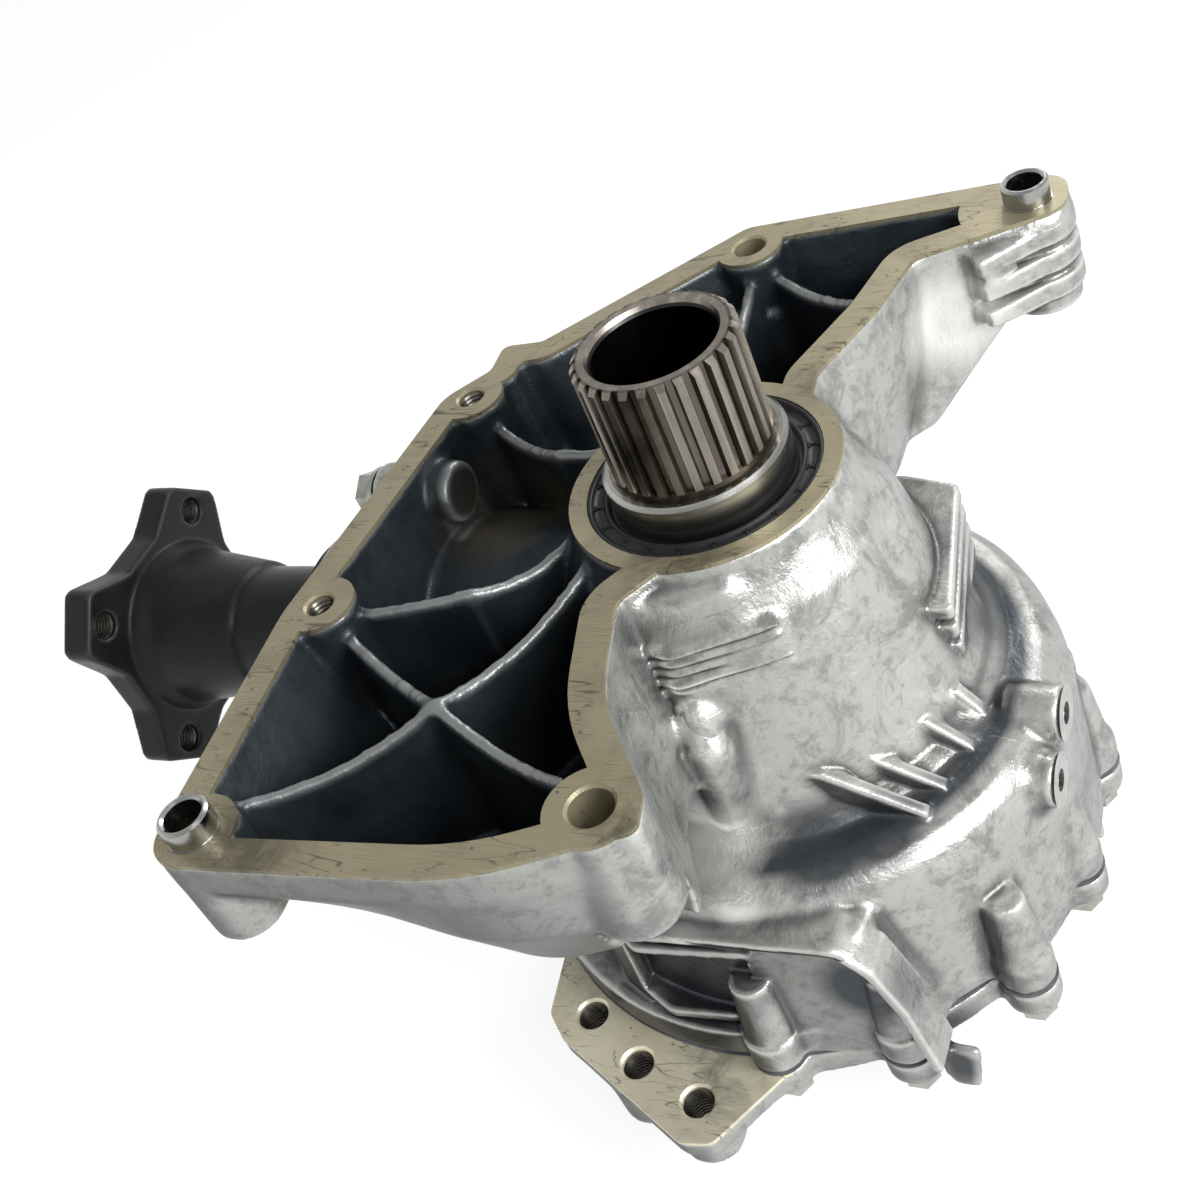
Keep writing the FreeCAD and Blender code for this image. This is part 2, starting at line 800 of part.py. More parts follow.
def end_cover():
    """Lower shell that closes the gear chamber, with the rear bearing seat and the mounting pad."""
    top = cover_top_z
    cup_r = rear_bearing[1]
    shell = joint_outline(top - cover_flange_t, top)
    pad = prism(PAD_OUTLINE, top - pad_t, top)
    bowl = turned([
        (0, top), (cover_bowl_r + cover_wall, top), (cover_bowl_r + cover_wall, top - 12),
        (cover_bowl_foot_r + cover_wall, cover_bottom_z + 12), (cover_hub_r, cover_bottom_z + 8),
        (cover_hub_r, cover_bottom_z), (0, cover_bottom_z),
    ])
    fin_points = [at(x, fin_y, z) for x, z in FIN_CORNERS]
    fin = Part.Face(Part.makePolygon(fin_points + fin_points[:1]))
    fin = fin.extrude(at(0, fin_t, 0))
    pieces = [pad, bowl, fin]
    for x, y in PAD_HOLES:
        pieces.append(rod(pad_boss_r, top - pad_boss_depth, top - 1, x, y))
    pieces.append(rod(drain_r + 5, cover_bottom_z + drain_seat, top - 4, *DRAIN_AT))
    for angle in range(0, 360, 45):
        pieces.append(rib((0, 0), polar(joint_flange_r - 2, angle + 10), 5.0, top - 28, top - 5))
    shell = shell.multiFuse(pieces)
    hollow = turned([
        (0, top + 1), (cover_bowl_r, top + 1), (cover_bowl_r, top - 8), (cover_bowl_foot_r, cover_bottom_z + 18),
        (0, cover_bottom_z + 18),
    ])
    seat_top = rear_race_end + rear_bearing[2] - 2.0
    boss = rod(cover_boss_r, cover_bottom_z + 10, seat_top)
    shell = shell.cut(hollow).fuse(boss)
    tools = [
        rod(cup_r, rear_race_end, seat_top + 30),
        rod(cup_r - 8, cover_bottom_z + cover_seal_w + 3, seat_top),
        rod(cover_seal_r, cover_bottom_z - 1, cover_bottom_z + cover_seal_w),
        rod(cover_seal_r - 5, cover_bottom_z - 1, seat_top),
        rod(drain_r, cover_bottom_z, top + 1, *DRAIN_AT),
        rod(drain_head_r + 2.0, cover_bottom_z - 1, cover_bottom_z + drain_seat, *DRAIN_AT),
    ]
    for x, y in PAD_HOLES:
        tools.append(chamfered_hole(pad_hole_r, x, y, top, pad_boss_depth + 5, pad_chamfer))
    for angle, reach in COVER_BOLTS:
        spot = polar(reach, angle)
        tools.append(rod(cover_bolt_r + 0.4, top - 30, top + 1, spot.x, spot.y))
        tools.append(rod(cover_bolt_head_r + 1.2, top - 40, top - cover_flange_t, spot.x, spot.y))
    return shell.cut(tools[0].multiFuse(tools[1:])).removeSplitter()


def cover_gasket():
    """Thin seal between housing and cover, inside the bolts."""
    sheet = joint_outline(cover_top_z, joint_z)
    holes = [rod(chamber_r + 0.5, cover_top_z - 1, joint_z + 1)]
    for angle, reach in COVER_BOLTS:
        spot = polar(reach, angle)
        holes.append(rod(cover_bolt_r + 0.4, cover_top_z - 1, joint_z + 1, spot.x, spot.y))
    return sheet.cut(holes[0].multiFuse(holes[1:]))


def flanged_bolt(shank_r, head_r, head_h, reach, z_head):
    """Hexagon bolt with a round flange, pointing up, its flange seated at z_head."""
    flange = rod(head_r, z_head - 1.6, z_head)
    head = hexagon(head_r * 0.86, head_h - 1.6, z_head - head_h)
    return rod(shank_r, z_head, z_head + reach).multiFuse([flange, head])


def cover_bolts():
    seat = cover_top_z - cover_flange_t
    length = joint_z + cover_bolt_reach - 2 - seat
    bolts = []
    for angle, reach in COVER_BOLTS:
        bolt = flanged_bolt(cover_bolt_r, cover_bolt_head_r, cover_bolt_head_h, length, seat)
        bolt.translate(polar(reach, angle))
        bolts.append(bolt)
    return Part.makeCompound(bolts)


def dowel_sleeves():
    """Pair of split-free locating sleeves, bevelled at both ends."""
    sleeves = []
    for x, y in (DOWEL_1, DOWEL_2):
        c = sleeve_chamfer
        sleeve = turned([
            (sleeve_bore_r, -sleeve_seat), (sleeve_press_r, -sleeve_seat),
            (sleeve_press_r, sleeve_press_end), (sleeve_r, sleeve_press_end),
            (sleeve_r, sleeve_stand - c), (sleeve_r - c, sleeve_stand),
            (sleeve_bore_r + c, sleeve_stand), (sleeve_bore_r, sleeve_stand - c),
        ])
        sleeve.translate(at(x, y))
        sleeves.append(sleeve)
    return Part.makeCompound(sleeves)


def shaft_seal(outer_r, lip_r, width):
    """Lip seal about Z, its back at 0 and its open side up."""
    lip = lip_r + seal_fit
    return turned([
        (lip + 1.2, 0), (outer_r, 0), (outer_r, width), (outer_r - 3, width), (outer_r - 3.4, width - 1.0),
        (lip + 1.6, width - 1.0), (lip, width - 3.0), (lip, width - 4.5), (lip + 1.2, width - 6.0),
    ])


def many_sided(radius_low, radius_high, length, z_low):
    """Tapered prism about Z with flat sides, for small parts that repeat."""
    rings = []
    for radius, z in ((radius_low, z_low), (radius_high, z_low + length)):
        rings.append([polar(radius, 360.0 * i / roller_sides, z) for i in range(roller_sides)])
    low, high = rings
    loops = [low, high]
    loops += [[low[i - 1], low[i], high[i], high[i - 1]] for i in range(roller_sides)]
    faces = [Part.Face(Part.makePolygon(loop + loop[:1])) for loop in loops]
    return Part.makeSolid(Part.makeShell(faces))


def tapered_bearing(sizes):
    """Taper roller bearing about Z: cup, cone, rollers and cage.

    The cup's back face is at 0 and the cone's back face is at the full width.
    """
    bore_r, outer_r, width, count = sizes
    section = outer_r - bore_r
    roller_r = section * roller_share
    pitch_r = bore_r + section * 0.5
    middle = width * 0.49
    tilt = math.radians(contact_angle)
    apex = middle - pitch_r / math.tan(tilt)
    reach = pitch_r / math.sin(tilt)
    half = math.atan(roller_r / reach)

    def cone_r(z, angle):
        return (z - apex) * math.tan(angle)

    low, high = 0.2 * width, 0.78 * width
    cup_end = 0.84 * width
    cup = turned([
        (cone_r(0, tilt + half), 0), (outer_r, 0),
        (outer_r, cup_end), (cone_r(cup_end, tilt + half), cup_end),
    ])
    inner = tilt - half
    track_low, track_high = low - 1.2, high + 1.2
    lip = roller_r * 0.45
    cone = turned([
        (bore_r, low - 3.0), (cone_r(track_low, inner) + lip * 0.5, low - 3.0),
        (cone_r(track_low, inner) + lip * 0.5, track_low), (cone_r(track_low, inner), track_low),
        (cone_r(track_high, inner), track_high), (cone_r(track_high, inner) + lip, track_high),
        (cone_r(track_high, inner) + lip, width), (bore_r, width),
    ])
    along_low = reach - (middle - low) / math.cos(tilt)
    along_high = reach + (high - middle) / math.cos(tilt)
    rollers = []
    cage_windows = []
    for i in range(count):
        turn = 360.0 * i / count
        roller = many_sided(
            along_low * math.tan(half) - roller_clearance, along_high * math.tan(half) - roller_clearance,
            along_high - along_low, along_low)
        window = many_sided(
            along_low * math.tan(half) + cage_gap, along_high * math.tan(half) + cage_gap,
            along_high - along_low + 2 * cage_gap, along_low - cage_gap)
        for piece in (roller, window):
            piece.rotate(O, Y, contact_angle)
            piece.translate(at(0, 0, apex))
            piece.rotate(O, Z, turn)
        rollers.append(roller)
        cage_windows.append(window)
    over = cage_t / 2
    c_low, c_high = low - 2.2, high + 2.2
    cage = turned([
        (cone_r(c_low, tilt) + over - 1.0, c_low), (cone_r(c_low, tilt) + over + 0.6, c_low),
        (cone_r(c_high, tilt) + over + 0.6, c_high), (cone_r(c_high, tilt) + over - 1.0, c_high),
    ])
    cage = cage.cut(cage_windows[0].multiFuse(cage_windows[1:]))
    return {"cup": cup, "cone": cone, "rollers": Part.makeCompound(rollers), "cage": cage}


def placed_bearing(sizes, put):
    """Parts of a bearing, each moved by the same placing function."""
    return {name: put(shape) for name, shape in tapered_bearing(sizes).items()}


def hang_down(z_back):
    """Placing function for a bearing whose cup backs up against z_back from below."""
    def put(shape):
        shape.rotate(O, Y, 180)
        shape.translate(at(0, 0, z_back))
        return shape
    return put


def stand_up(z_back):
    """Placing function for a bearing whose cup rests on z_back."""
    def put(shape):
        shape.translate(at(0, 0, z_back))
        return shape
    return put


def on_pinion(distance, cup_outwards):
    """Placing function for a bearing on the pinion, its cup's back at this distance."""
    def put(shape):
        if cup_outwards:
            shape.rotate(O, Y, 180)
        shape.translate(at(0, 0, distance))
        return along_pinion(shape)
    return put


def spline_grooves():
    """Cutters between the teeth of the input spline."""
    pitch = 360.0 / spline_teeth
    cutters = []
    for i in range(spline_teeth):
        turn = pitch * (i + 0.5)
        root = pitch * 0.17
        tip = pitch * 0.33
        low = spline_end_z
        points = [polar(spline_root_r, turn - root, low), polar(spline_root_r, turn + root, low),
                  polar(spline_r + 1.0, turn + tip, low), polar(spline_r + 1.0, turn - tip, low)]
        groove = Part.Face(Part.makePolygon(points + points[:1]))
        cutters.append(groove.extrude(at(0, 0, shaft_top_z - low + 1)))
    return Part.makeCompound(cutters)


def input_shaft():
    """Hollow shaft: outside spline, seal collar, bearing journals and gear flange."""
    profile = [
        (shaft_bore_r, shaft_end_z),
        (rear_journal_r - 1, shaft_end_z), (rear_journal_r, shaft_end_z + 1),
        (rear_journal_r, rear_shoulder_z), (rear_shoulder_r, rear_shoulder_z),
        (rear_shoulder_r, gear_flange_z), (gear_flange_r, gear_flange_z),
        (gear_flange_r, ring_back_z), (gear_pilot_r, ring_back_z),
        (gear_pilot_r, ring_back_z + 12), (shaft_body_r, ring_back_z + 20),
        (shaft_body_r, front_race_end - 4), (shaft_shoulder_r, front_race_end - 4),
        (shaft_shoulder_r, front_race_end), (front_bearing[0], front_race_end),
        (front_bearing[0], collar_top_z - collar_bevel), (collar_r - collar_bevel, collar_top_z),
        (spline_r - 1.6, collar_top_z), (spline_r - 1.6, spline_end_z - 0.6),
        (spline_r, spline_end_z + 0.4),
        (spline_r, shaft_top_z - spline_bevel), (spline_r - spline_bevel, shaft_top_z),
        (shaft_mouth_r, shaft_top_z), (shaft_bore_r, shaft_top_z - 2.2),
    ]
    shaft = turned(profile).cut(spline_grooves())
    bolt_holes = []
    for i in range(gear_bolt_count):
        spot = polar(gear_bolt_circle_r, 360.0 * i / gear_bolt_count)
        bolt_holes.append(rod(gear_bolt_r, gear_flange_z - 1, ring_back_z + 1, spot.x, spot.y))
    return shaft.cut(Part.makeCompound(bolt_holes))


def pitch_angles():
    """Pitch cone half angles of the ring gear and of the pinion, and the cone distance."""
    pinion_pitch_r = ring_pitch_r * pinion_teeth / ring_teeth
    cone_distance = math.hypot(ring_pitch_r, pinion_pitch_r)
    ring_angle = math.atan2(ring_pitch_r, pinion_pitch_r)
    return ring_angle, math.pi / 2 - ring_angle, cone_distance


def involute(base_r, radius):
    """Polar angle of an involute where it crosses a radius."""
    if radius <= base_r:
        return 0.0
    roll = math.sqrt((radius / base_r) ** 2 - 1)
    return roll - math.atan(roll)


def bevel_tooth(teeth, pitch_angle, cone_distance, addendum, dedendum, thickness):
    """One straight bevel tooth about Z, apex at the origin, crossing the XZ plane."""
    module = 2 * cone_distance * math.sin(pitch_angle) / teeth
    virtual_r = teeth * module / 2 / math.cos(pitch_angle)
    base_r = virtual_r * math.cos(math.radians(pressure_angle))
    half = thickness / 2 / virtual_r + involute(base_r, virtual_r)
    levels = [virtual_r - dedendum - 1.0, virtual_r - dedendum * 0.45, virtual_r,
              virtual_r + addendum * 0.5, virtual_r + addendum]
    left, right = [], []
    for radius in levels:
        turn = half - involute(base_r, radius)
        side = radius * math.sin(turn)
        rise = radius * math.cos(turn) - virtual_r
        left.append((-side, rise))
        right.append((side, rise))
    outline = left + right[::-1]
    normal = Vector(math.cos(pitch_angle), 0, -math.sin(pitch_angle))
    heel = Vector(math.sin(pitch_angle), 0, math.cos(pitch_angle)) * cone_distance
    wires = []
    for scale in (1.02, (cone_distance - face_width) / cone_distance - 0.02):
        points = [(heel + normal * rise + Y * side) * scale for side, rise in outline]
        wires.append(Part.makePolygon(points + points[:1]))
    return Part.makeLoft(wires, True, True)


def cone_point(pitch_angle, distance, height):
    """Radius and axial distance of a point above or below the pitch cone."""
    r = distance * math.sin(pitch_angle) + height * math.cos(pitch_angle)
    z = distance * math.cos(pitch_angle) - height * math.sin(pitch_angle)
    return r, z


def bevel_sizes():
    """Heights of the teeth, long on the pinion and short on the ring gear."""
    module = 2 * ring_pitch_r / ring_teeth
    ratio = ring_teeth / pinion_teeth
    ring_addendum = module * (0.54 + 0.46 / ratio ** 2)
    pinion_addendum = 2 * module - ring_addendum
    clearance = 0.25 * module
    return module, ring_addendum, pinion_addendum, clearance


def bevel_gear(teeth, pitch_angle, cone_distance, addendum, dedendum, thickness, body):
    """Body of revolution with straight bevel teeth, apex at the origin."""
    toe = cone_distance - face_width
    shrink = toe / cone_distance
    envelope = turned([
        cone_point(pitch_angle, cone_distance, addendum), cone_point(pitch_angle, toe, addendum * shrink),
        cone_point(pitch_angle, toe, -dedendum * shrink - 0.6),
        cone_point(pitch_angle, cone_distance, -dedendum - 0.6),
    ])
    tooth = bevel_tooth(teeth, pitch_angle, cone_distance, addendum, dedendum, thickness).common(envelope)
    copies = []
    for i in range(teeth):
        copy = tooth.copy()
        copy.rotate(O, Z, 360.0 * i / teeth)
        copies.append(copy)
    return body.multiFuse(copies)


def ring_gear():
    """Crown wheel bolted to the flange of the input shaft, its teeth facing the gearbox."""
    angle, _, distance = pitch_angles()
    module, addendum, other, clearance = bevel_sizes()
    dedendum = other + clearance
    apex = pinion_z
    toe = distance - face_width
    heel_root = cone_point(angle, distance, -dedendum)
    toe_root = cone_point(angle, toe, -dedendum * toe / distance)
    back = apex - ring_back_z
    body = turned([
        (gear_pilot_r, back), (ring_outer_r, back), (ring_outer_r, heel_root[1] + 3),
        heel_root, toe_root, (gear_pilot_r, toe_root[1] + 2),
    ])
    thickness = module * math.pi / 2 - backlash - 0.25 * module
    gear = bevel_gear(ring_teeth, angle, distance, addendum, dedendum, thickness, body)
    gear.rotate(O, Vector(1, 0, 0), 180)
    gear.translate(at(0, 0, apex))
    holes = []
    for i in range(gear_bolt_count):
        spot = polar(gear_bolt_circle_r, 360.0 * i / gear_bolt_count)
        holes.append(rod(gear_bolt_r, ring_back_z - 1, ring_back_z + gear_bolt_grip, spot.x, spot.y))
    return gear.cut(Part.makeCompound(holes))


def drive_pinion():
    """Pinion with its shaft: head, bearing seats, flange spline and thread."""
    _, angle, distance = pitch_angles()
    module, other, addendum, clearance = bevel_sizes()
    dedendum = other + clearance
    toe = distance - face_width
    heel_root = cone_point(angle, distance, -dedendum)
    toe_root = cone_point(angle, toe, -dedendum * toe / distance)
    body = turned([
        (0, toe_root[1]), toe_root, heel_root, (heel_root[0] - 1, head_back),
        (head_bearing[0], head_back), (head_bearing[0], head_bearing_end - 2),
        (tail_bearing[0], head_bearing_end + 2), (tail_bearing[0], tail_bearing_end),
        (pinion_spline_r, tail_bearing_end), (pinion_spline_r, nut_seat - 6),
        (pinion_thread_r, nut_seat - 4), (pinion_thread_r, pinion_end - 1),
        (pinion_thread_r - 1, pinion_end), (0, pinion_end),
    ])
    thickness = module * math.pi / 2 - backlash + 0.25 * module
    gear = bevel_gear(pinion_teeth, angle, distance, addendum, dedendum, thickness, body)
    gear = along_pinion(gear)
    return gear


def gear_bolts():
    bolts = []
    reach = gear_flange_t + gear_bolt_grip - 1
    for i in range(gear_bolt_count):
        bolt = flanged_bolt(gear_bolt_r, gear_bolt_head_r, gear_bolt_head_h, reach, gear_flange_z)
        bolt.translate(polar(gear_bolt_circle_r, 360.0 * i / gear_bolt_count))
        bolts.append(bolt)
    return Part.makeCompound(bolts)


def flange_plate():
    """Four-lobed plate of the output flange, about Z."""
    corners = []
    for i in range(flange_bolts):
        turn = flange_turn + 360.0 * i / flange_bolts
        for reach, side in ((lobe_root_r, -lobe_half_root), (lobe_reach, -lobe_half_tip),
                            (lobe_reach, lobe_half_tip), (lobe_root_r, lobe_half_root)):
            spot = polar(reach, turn) + polar(side, turn + 90)
            corners.append((spot.x, spot.y, 4.0))
    return prism(corners, flange_face, flange_face + flange_t)


def output_flange():
    """Propeller-shaft flange: lobed plate, tapered hub and seal journal."""
    hub = turned([
        (0, tail_bearing_end), (flange_journal_r - 1, tail_bearing_end),
        (flange_journal_r, tail_bearing_end + 1),
        (flange_journal_r, flange_waist - 3), (flange_waist_r - 2.4, flange_waist - 1),
        (flange_waist_r, flange_waist - 1), (flange_waist_r, flange_waist), (flange_hub_r, flange_face - 8),
        (flange_hub_r + 3.0, flange_face - 2),
        (flange_hub_r + 3.0, flange_face + flange_t),
        (0, flange_face + flange_t),
    ])
    tools = [
        rod(pinion_spline_r, tail_bearing_end - 1, nut_seat),
        rod(nut_pocket_r, nut_seat, flange_face + flange_t + 1),
    ]
    for i in range(flange_bolts):
        spot = polar(flange_bolt_circle_r, flange_turn + 360.0 * i / flange_bolts)
        tools.append(rod(flange_hole_r, flange_face - 1, flange_face + flange_t + 1, spot.x, spot.y))
    return along_pinion(hub.fuse(flange_plate()).cut(tools[0].multiFuse(tools[1:])).removeSplitter())


def flange_nut():
    nut = hexagon(nut_r, nut_h, nut_seat + washer_t).cut(rod(pinion_thread_r, nut_seat, nut_seat + 40))
    return along_pinion(nut)


def hex_plug(shank_r, head_r, head_h, length):
    """Screw plug about Z, pointing down, its head above 0."""
    head = hexagon(head_r, head_h - 1.5, 1.5)
    collar = rod(head_r, 0, 1.5)
    return rod(shank_r, -length, 0).multiFuse([collar, head])


def side_plug():
    plug = hex_plug(plug_r, plug_head_r, plug_head_h, 12.0)
    plug.translate(at(0, 0, washer_h))
    plug.rotate(O, Y, -90)
    plug.translate(at(plug_boss_x, plug_y, plug_z))
    return plug


def side_plug_washer():
    washer = ring(plug_r, plug_head_r + 1, 0, washer_h)
    washer.rotate(O, Y, -90)
    washer.translate(at(plug_boss_x, plug_y, plug_z))
    return washer


def drain_plug():
    plug = hex_plug(drain_r, drain_head_r, 7.0, 12.0)
    plug.rotate(O, Y, 180)
    plug.translate(at(*DRAIN_AT, cover_bottom_z + drain_seat - washer_h))
    return plug


def drain_washer():
    seat = cover_bottom_z + drain_seat
    return ring(drain_r, drain_head_r + 1, seat - washer_h, seat).translated(at(*DRAIN_AT))


def export(name, shape):
    shape.exportStep("parts/" + name + ".step")
    print(name, len(shape.Solids), round(shape.Volume / 1000, 1), shape.isValid())


def main():
    os.makedirs("parts", exist_ok=True)
    front = placed_bearing(front_bearing, hang_down(front_bearing_z))
    rear = placed_bearing(rear_bearing, stand_up(rear_race_end))
    head = placed_bearing(head_bearing, on_pinion(head_bearing_end, True))
    tail = placed_bearing(tail_bearing, on_pinion(tail_bearing_start, False))
    input_seal = shaft_seal(seal_r, collar_r, seal_depth)
    input_seal.translate(at(0, 0, -seal_depth - seal_inset))
    cover_seal = shaft_seal(cover_seal_r, cover_seal_lip_r, cover_seal_w)
    cover_seal.translate(at(0, 0, cover_bottom_z))
    pinion_seal = shaft_seal(tail_bearing[1], flange_journal_r, pinion_seal_w)
    pinion_seal.translate(at(0, 0, seal_start))
    spacer_low = head_bearing_end - head_bearing[2] * 0.2 + 3.0
    spacer_high = tail_bearing_start + tail_bearing[2] * 0.2 - 3.0
    shield_low = barrel_end + 3.0
    shim = ring(head_bearing[0], head_bearing[0] + 8, head_back, head_bearing_start)

    nodes = {
        "main_housing": main_housing(),
        "end_cover": end_cover(),
        "cover_gasket": cover_gasket(),
        "cover_bolts": cover_bolts(),
        "dowel_sleeves": dowel_sleeves(),
        "input_shaft_seal": input_seal,
        "cover_seal": cover_seal,
        "pinion_seal": along_pinion(pinion_seal),
        "input_shaft": input_shaft(),
        "ring_gear": ring_gear(),
        "ring_gear_bolts": gear_bolts(),
        "drive_pinion": drive_pinion(),
        "pinion_depth_shim": along_pinion(shim),
        "pinion_spacer": along_pinion(ring(head_bearing[0], spacer_r, spacer_low, spacer_high)),
        "output_flange": output_flange(),
        "flange_nut": flange_nut(),
        "flange_washer": along_pinion(ring(pinion_thread_r, washer_r, nut_seat, nut_seat + washer_t)),
        "dust_shield": along_pinion(ring(flange_journal_r, shield_r, shield_low, shield_low + shield_t)),
        "side_plug": side_plug(),
        "side_plug_washer": side_plug_washer(),
        "drain_plug": drain_plug(),
        "drain_washer": drain_washer(),
    }
    for label, bearing in (("front", front), ("rear", rear), ("pinion_head", head), ("pinion_tail", tail)):
        for piece in ("cup", "cone", "rollers", "cage"):
            nodes[label + "_bearing_" + piece] = bearing[piece]
    for name, shape in nodes.items():
        export(name, shape)


main()
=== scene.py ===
"""Looks of a transfer case: die-cast housing, splined input shaft and black output flange.

Places and lengths are in millimetres, but those of the camera, the lamps and the floor are in metres.
"""

import json
import math

import bmesh
import bpy
import numpy as np
from mathutils import Matrix, Vector
from mathutils.bvhtree import BVHTree
from mathutils.kdtree import KDTree


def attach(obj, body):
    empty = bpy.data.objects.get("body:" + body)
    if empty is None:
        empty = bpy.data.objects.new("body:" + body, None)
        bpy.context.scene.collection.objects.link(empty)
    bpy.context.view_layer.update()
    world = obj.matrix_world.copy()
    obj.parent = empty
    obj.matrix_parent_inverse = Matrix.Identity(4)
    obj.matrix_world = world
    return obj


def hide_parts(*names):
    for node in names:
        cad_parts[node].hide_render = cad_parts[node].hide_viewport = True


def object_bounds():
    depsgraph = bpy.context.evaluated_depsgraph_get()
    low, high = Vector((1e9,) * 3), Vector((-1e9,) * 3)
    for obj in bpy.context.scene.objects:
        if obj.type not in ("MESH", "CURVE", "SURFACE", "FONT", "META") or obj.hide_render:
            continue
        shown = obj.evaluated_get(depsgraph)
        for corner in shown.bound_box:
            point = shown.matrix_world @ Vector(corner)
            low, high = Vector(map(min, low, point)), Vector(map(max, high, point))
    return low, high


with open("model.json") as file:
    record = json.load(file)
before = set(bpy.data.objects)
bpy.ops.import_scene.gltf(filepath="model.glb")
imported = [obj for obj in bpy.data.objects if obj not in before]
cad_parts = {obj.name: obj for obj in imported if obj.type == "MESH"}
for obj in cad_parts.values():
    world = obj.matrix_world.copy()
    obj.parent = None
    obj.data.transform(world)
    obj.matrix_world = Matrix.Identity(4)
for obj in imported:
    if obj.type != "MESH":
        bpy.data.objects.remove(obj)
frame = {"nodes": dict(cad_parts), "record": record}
NODES = frame["nodes"]
CAD_BOX = [list(map(float, corner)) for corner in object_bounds()]
MM = 0.001

# Camera, found from the circles and corners of the photograph
CAMERA_PLACE = (0.2063, -0.3306, 0.2792)
CAMERA_RIGHT = (0.8736, 0.3498, -0.3383)
CAMERA_DOWN = (0.0082, -0.7057, -0.7084)
CAMERA_AHEAD = (-0.4866, 0.6161, -0.6194)
CAMERA_LENS = 49.33

# Lamps: name, place, what it looks at, width and height, watts
LAMPS = [
    ("key", (0.87, -0.20, 0.42), (0, 0, -0.05), (0.36, 0.46), 10.0),
    ("side", (0.62, -0.50, 0.62), (0, 0, -0.08), (0.22, 0.22), 2.0),
    ("back", (0.10, 0.90, 0.50), (0, 0, -0.02), (0.40, 0.30), 4.0),
]
# Strength of the studio's soft light, and of its ceiling in reflections
SOFT_LIGHT = 0.34
OVERHEAD = 0.45
# Floor: half its width, its gap under the case, its tone under the lamps and its white
FLOOR_HALF = 4.0
FLOOR_GAP = 0.0006
FLOOR_TONE = (0.28, 0.28, 0.28, 1)
FLOOR_WHITE = 0.87

# Outline of the mounting face
FACE = [
    (-112.8, -153.8), (-60.0, -152.5), (-16.0, -148.0), (27.0, -128.8), (24.5, -117.5), (8.0, -98.0),
    (-2.0, -75.0), (-8.2, -53.5), (4.0, -36.0), (24.0, 33.0), (22.5, 44.0), (33.8, 76.0), (38.8, 101.0),
    (83.0, 121.5), (80.5, 143.0), (-27.5, 129.9), (-85.5, 71.6), (-100.5, 70.5), (-99.6, 57.0),
    (-112.0, 43.0), (-120.6, -60.0),
]
# Holes of the mounting face, the tapped ones first and then all: x, y, radius, depth
TAPPED_HOLES = [(-108.9, -55.7, 4.5, 22.2), (-101.2, 42.8, 4.5, 22.2)]
FACE_HOLES = [
    (-101.9, -141.3, 7.6, 35.0), (69.8, 128.4, 7.6, 35.0), (12.2, -122.8, 6.25, 40.0),
    (-23.3, 118.2, 5.6, 24.0), *TAPPED_HOLES,
]
# Pad of the end cover: its holes like those above, its height, and the x where its free rim ends
PAD_HOLES = [(-57.3, -94.8, 5.25, 19.9), (-35.1, -109.5, 5.25, 19.9), (-10.8, -118.7, 5.25, 19.9)]
PAD_Z = -150.5
PAD_END_X = 16.0
# Seat of the input shaft's seal, the height of the seal's web, and half its section as (radius, z)
SEAL_BORE = (0.0, 0.0, 36.0, 13.0)
SEAL_WEB_Z = -1.9
SEAL_SECTION = [
    (36.0, -0.7), (35.6, -0.3), (34.9, -0.3), (34.5, -0.8), (34.4, SEAL_WEB_Z), (31.0, SEAL_WEB_Z),
    (30.7, -1.0), (30.3, -0.7), (29.8, -0.9), (29.4, -2.2), (28.6, -3.0), (28.1, -2.6), (28.06, -3.4),
    (29.2, -6.0), (29.2, -11.5), (36.0, -11.5),
]
SEAL_SIDES = 160
# Marks round the seal: how many, how far round the first is as a share of a step, their height, and
# each stroke's distance from the axis, length and width
SEAL_MARKS = 20
FIRST_MARK = 0.3
MARK_HEIGHT = 0.8
MARK_STROKES = [(32.6, 2.4, 0.7), (31.4, 0.7, 2.0), (33.8, 0.7, 2.0)]
# Spot-faced bosses on the right of the gear chamber: y and z of each, the x and the radius of their
# faces, the depth below the face that counts as boss, the radius of the hole with its mouth, and the
# reach of the skin that sinks under each face
SIDE_BOSSES = [(-10.5, -87.5), (-28.0, -97.0)]
SIDE_BOSS_X = 92.0
SIDE_BOSS_R = 8.7
SIDE_BOSS_DEPTH = 9.5
SIDE_HOLE_R = 4.0
BOSS_SKIN = 0.6
BOSS_SKIN_R = 9.0
# Holes of the output flange: height of its axis, place of its back, their circle, number and first angle
PINION_Z = -68.6
FLANGE_BACK_X = -242.4
FLANGE_CIRCLE_R = 44.0
FLANGE_HOLES = 4
FLANGE_TURN = 45
# Inside threads: pitch, depth, sides of a turn, start below the mouth, how far they lie in the hole's wall,
# and the lengths in the mounting face, in the pad and in the output flange, with the radius there
THREAD_PITCH = 1.5
THREAD_DEPTH = 0.75
THREAD_SIDES = 28
THREAD_START = 1.2
THREAD_GAP = 0.05
FACE_THREAD = 18.0
PAD_THREAD = 14.0
FLANGE_THREAD = 12.0
FLANGE_THREAD_R = 5.15
# Where the input shaft's colour changes: radii of the spline's grooves and of the bore, which get painted
# shade, of the polished collar, and the height of the collar's top
GROOVE_INNER_R = 21.9
GROOVE_OUTER_R = 22.9
BORE_R = 19.0
COLLAR_R = 25.5
COLLAR_TOP = 11.0

# Casting skin under milled faces: how far it sinks, the height of the rim, the reach of rim and face
SINK = 0.35
SKIRT = 1.4
RIM_REACH = 0.4
FACE_REACH = 0.8
# Room between the skin and the cut wall of a hole, and how far a hole's bevelled mouth reaches
HOLE_ROOM = 0.7
MOUTH = 1.3
# Open pocket of the mounting face: its height limits, and the round seat of the seal, which stays light
POCKET_TOP = -0.3
POCKET_BOTTOM = -61.0
SEAT_R = 43.0
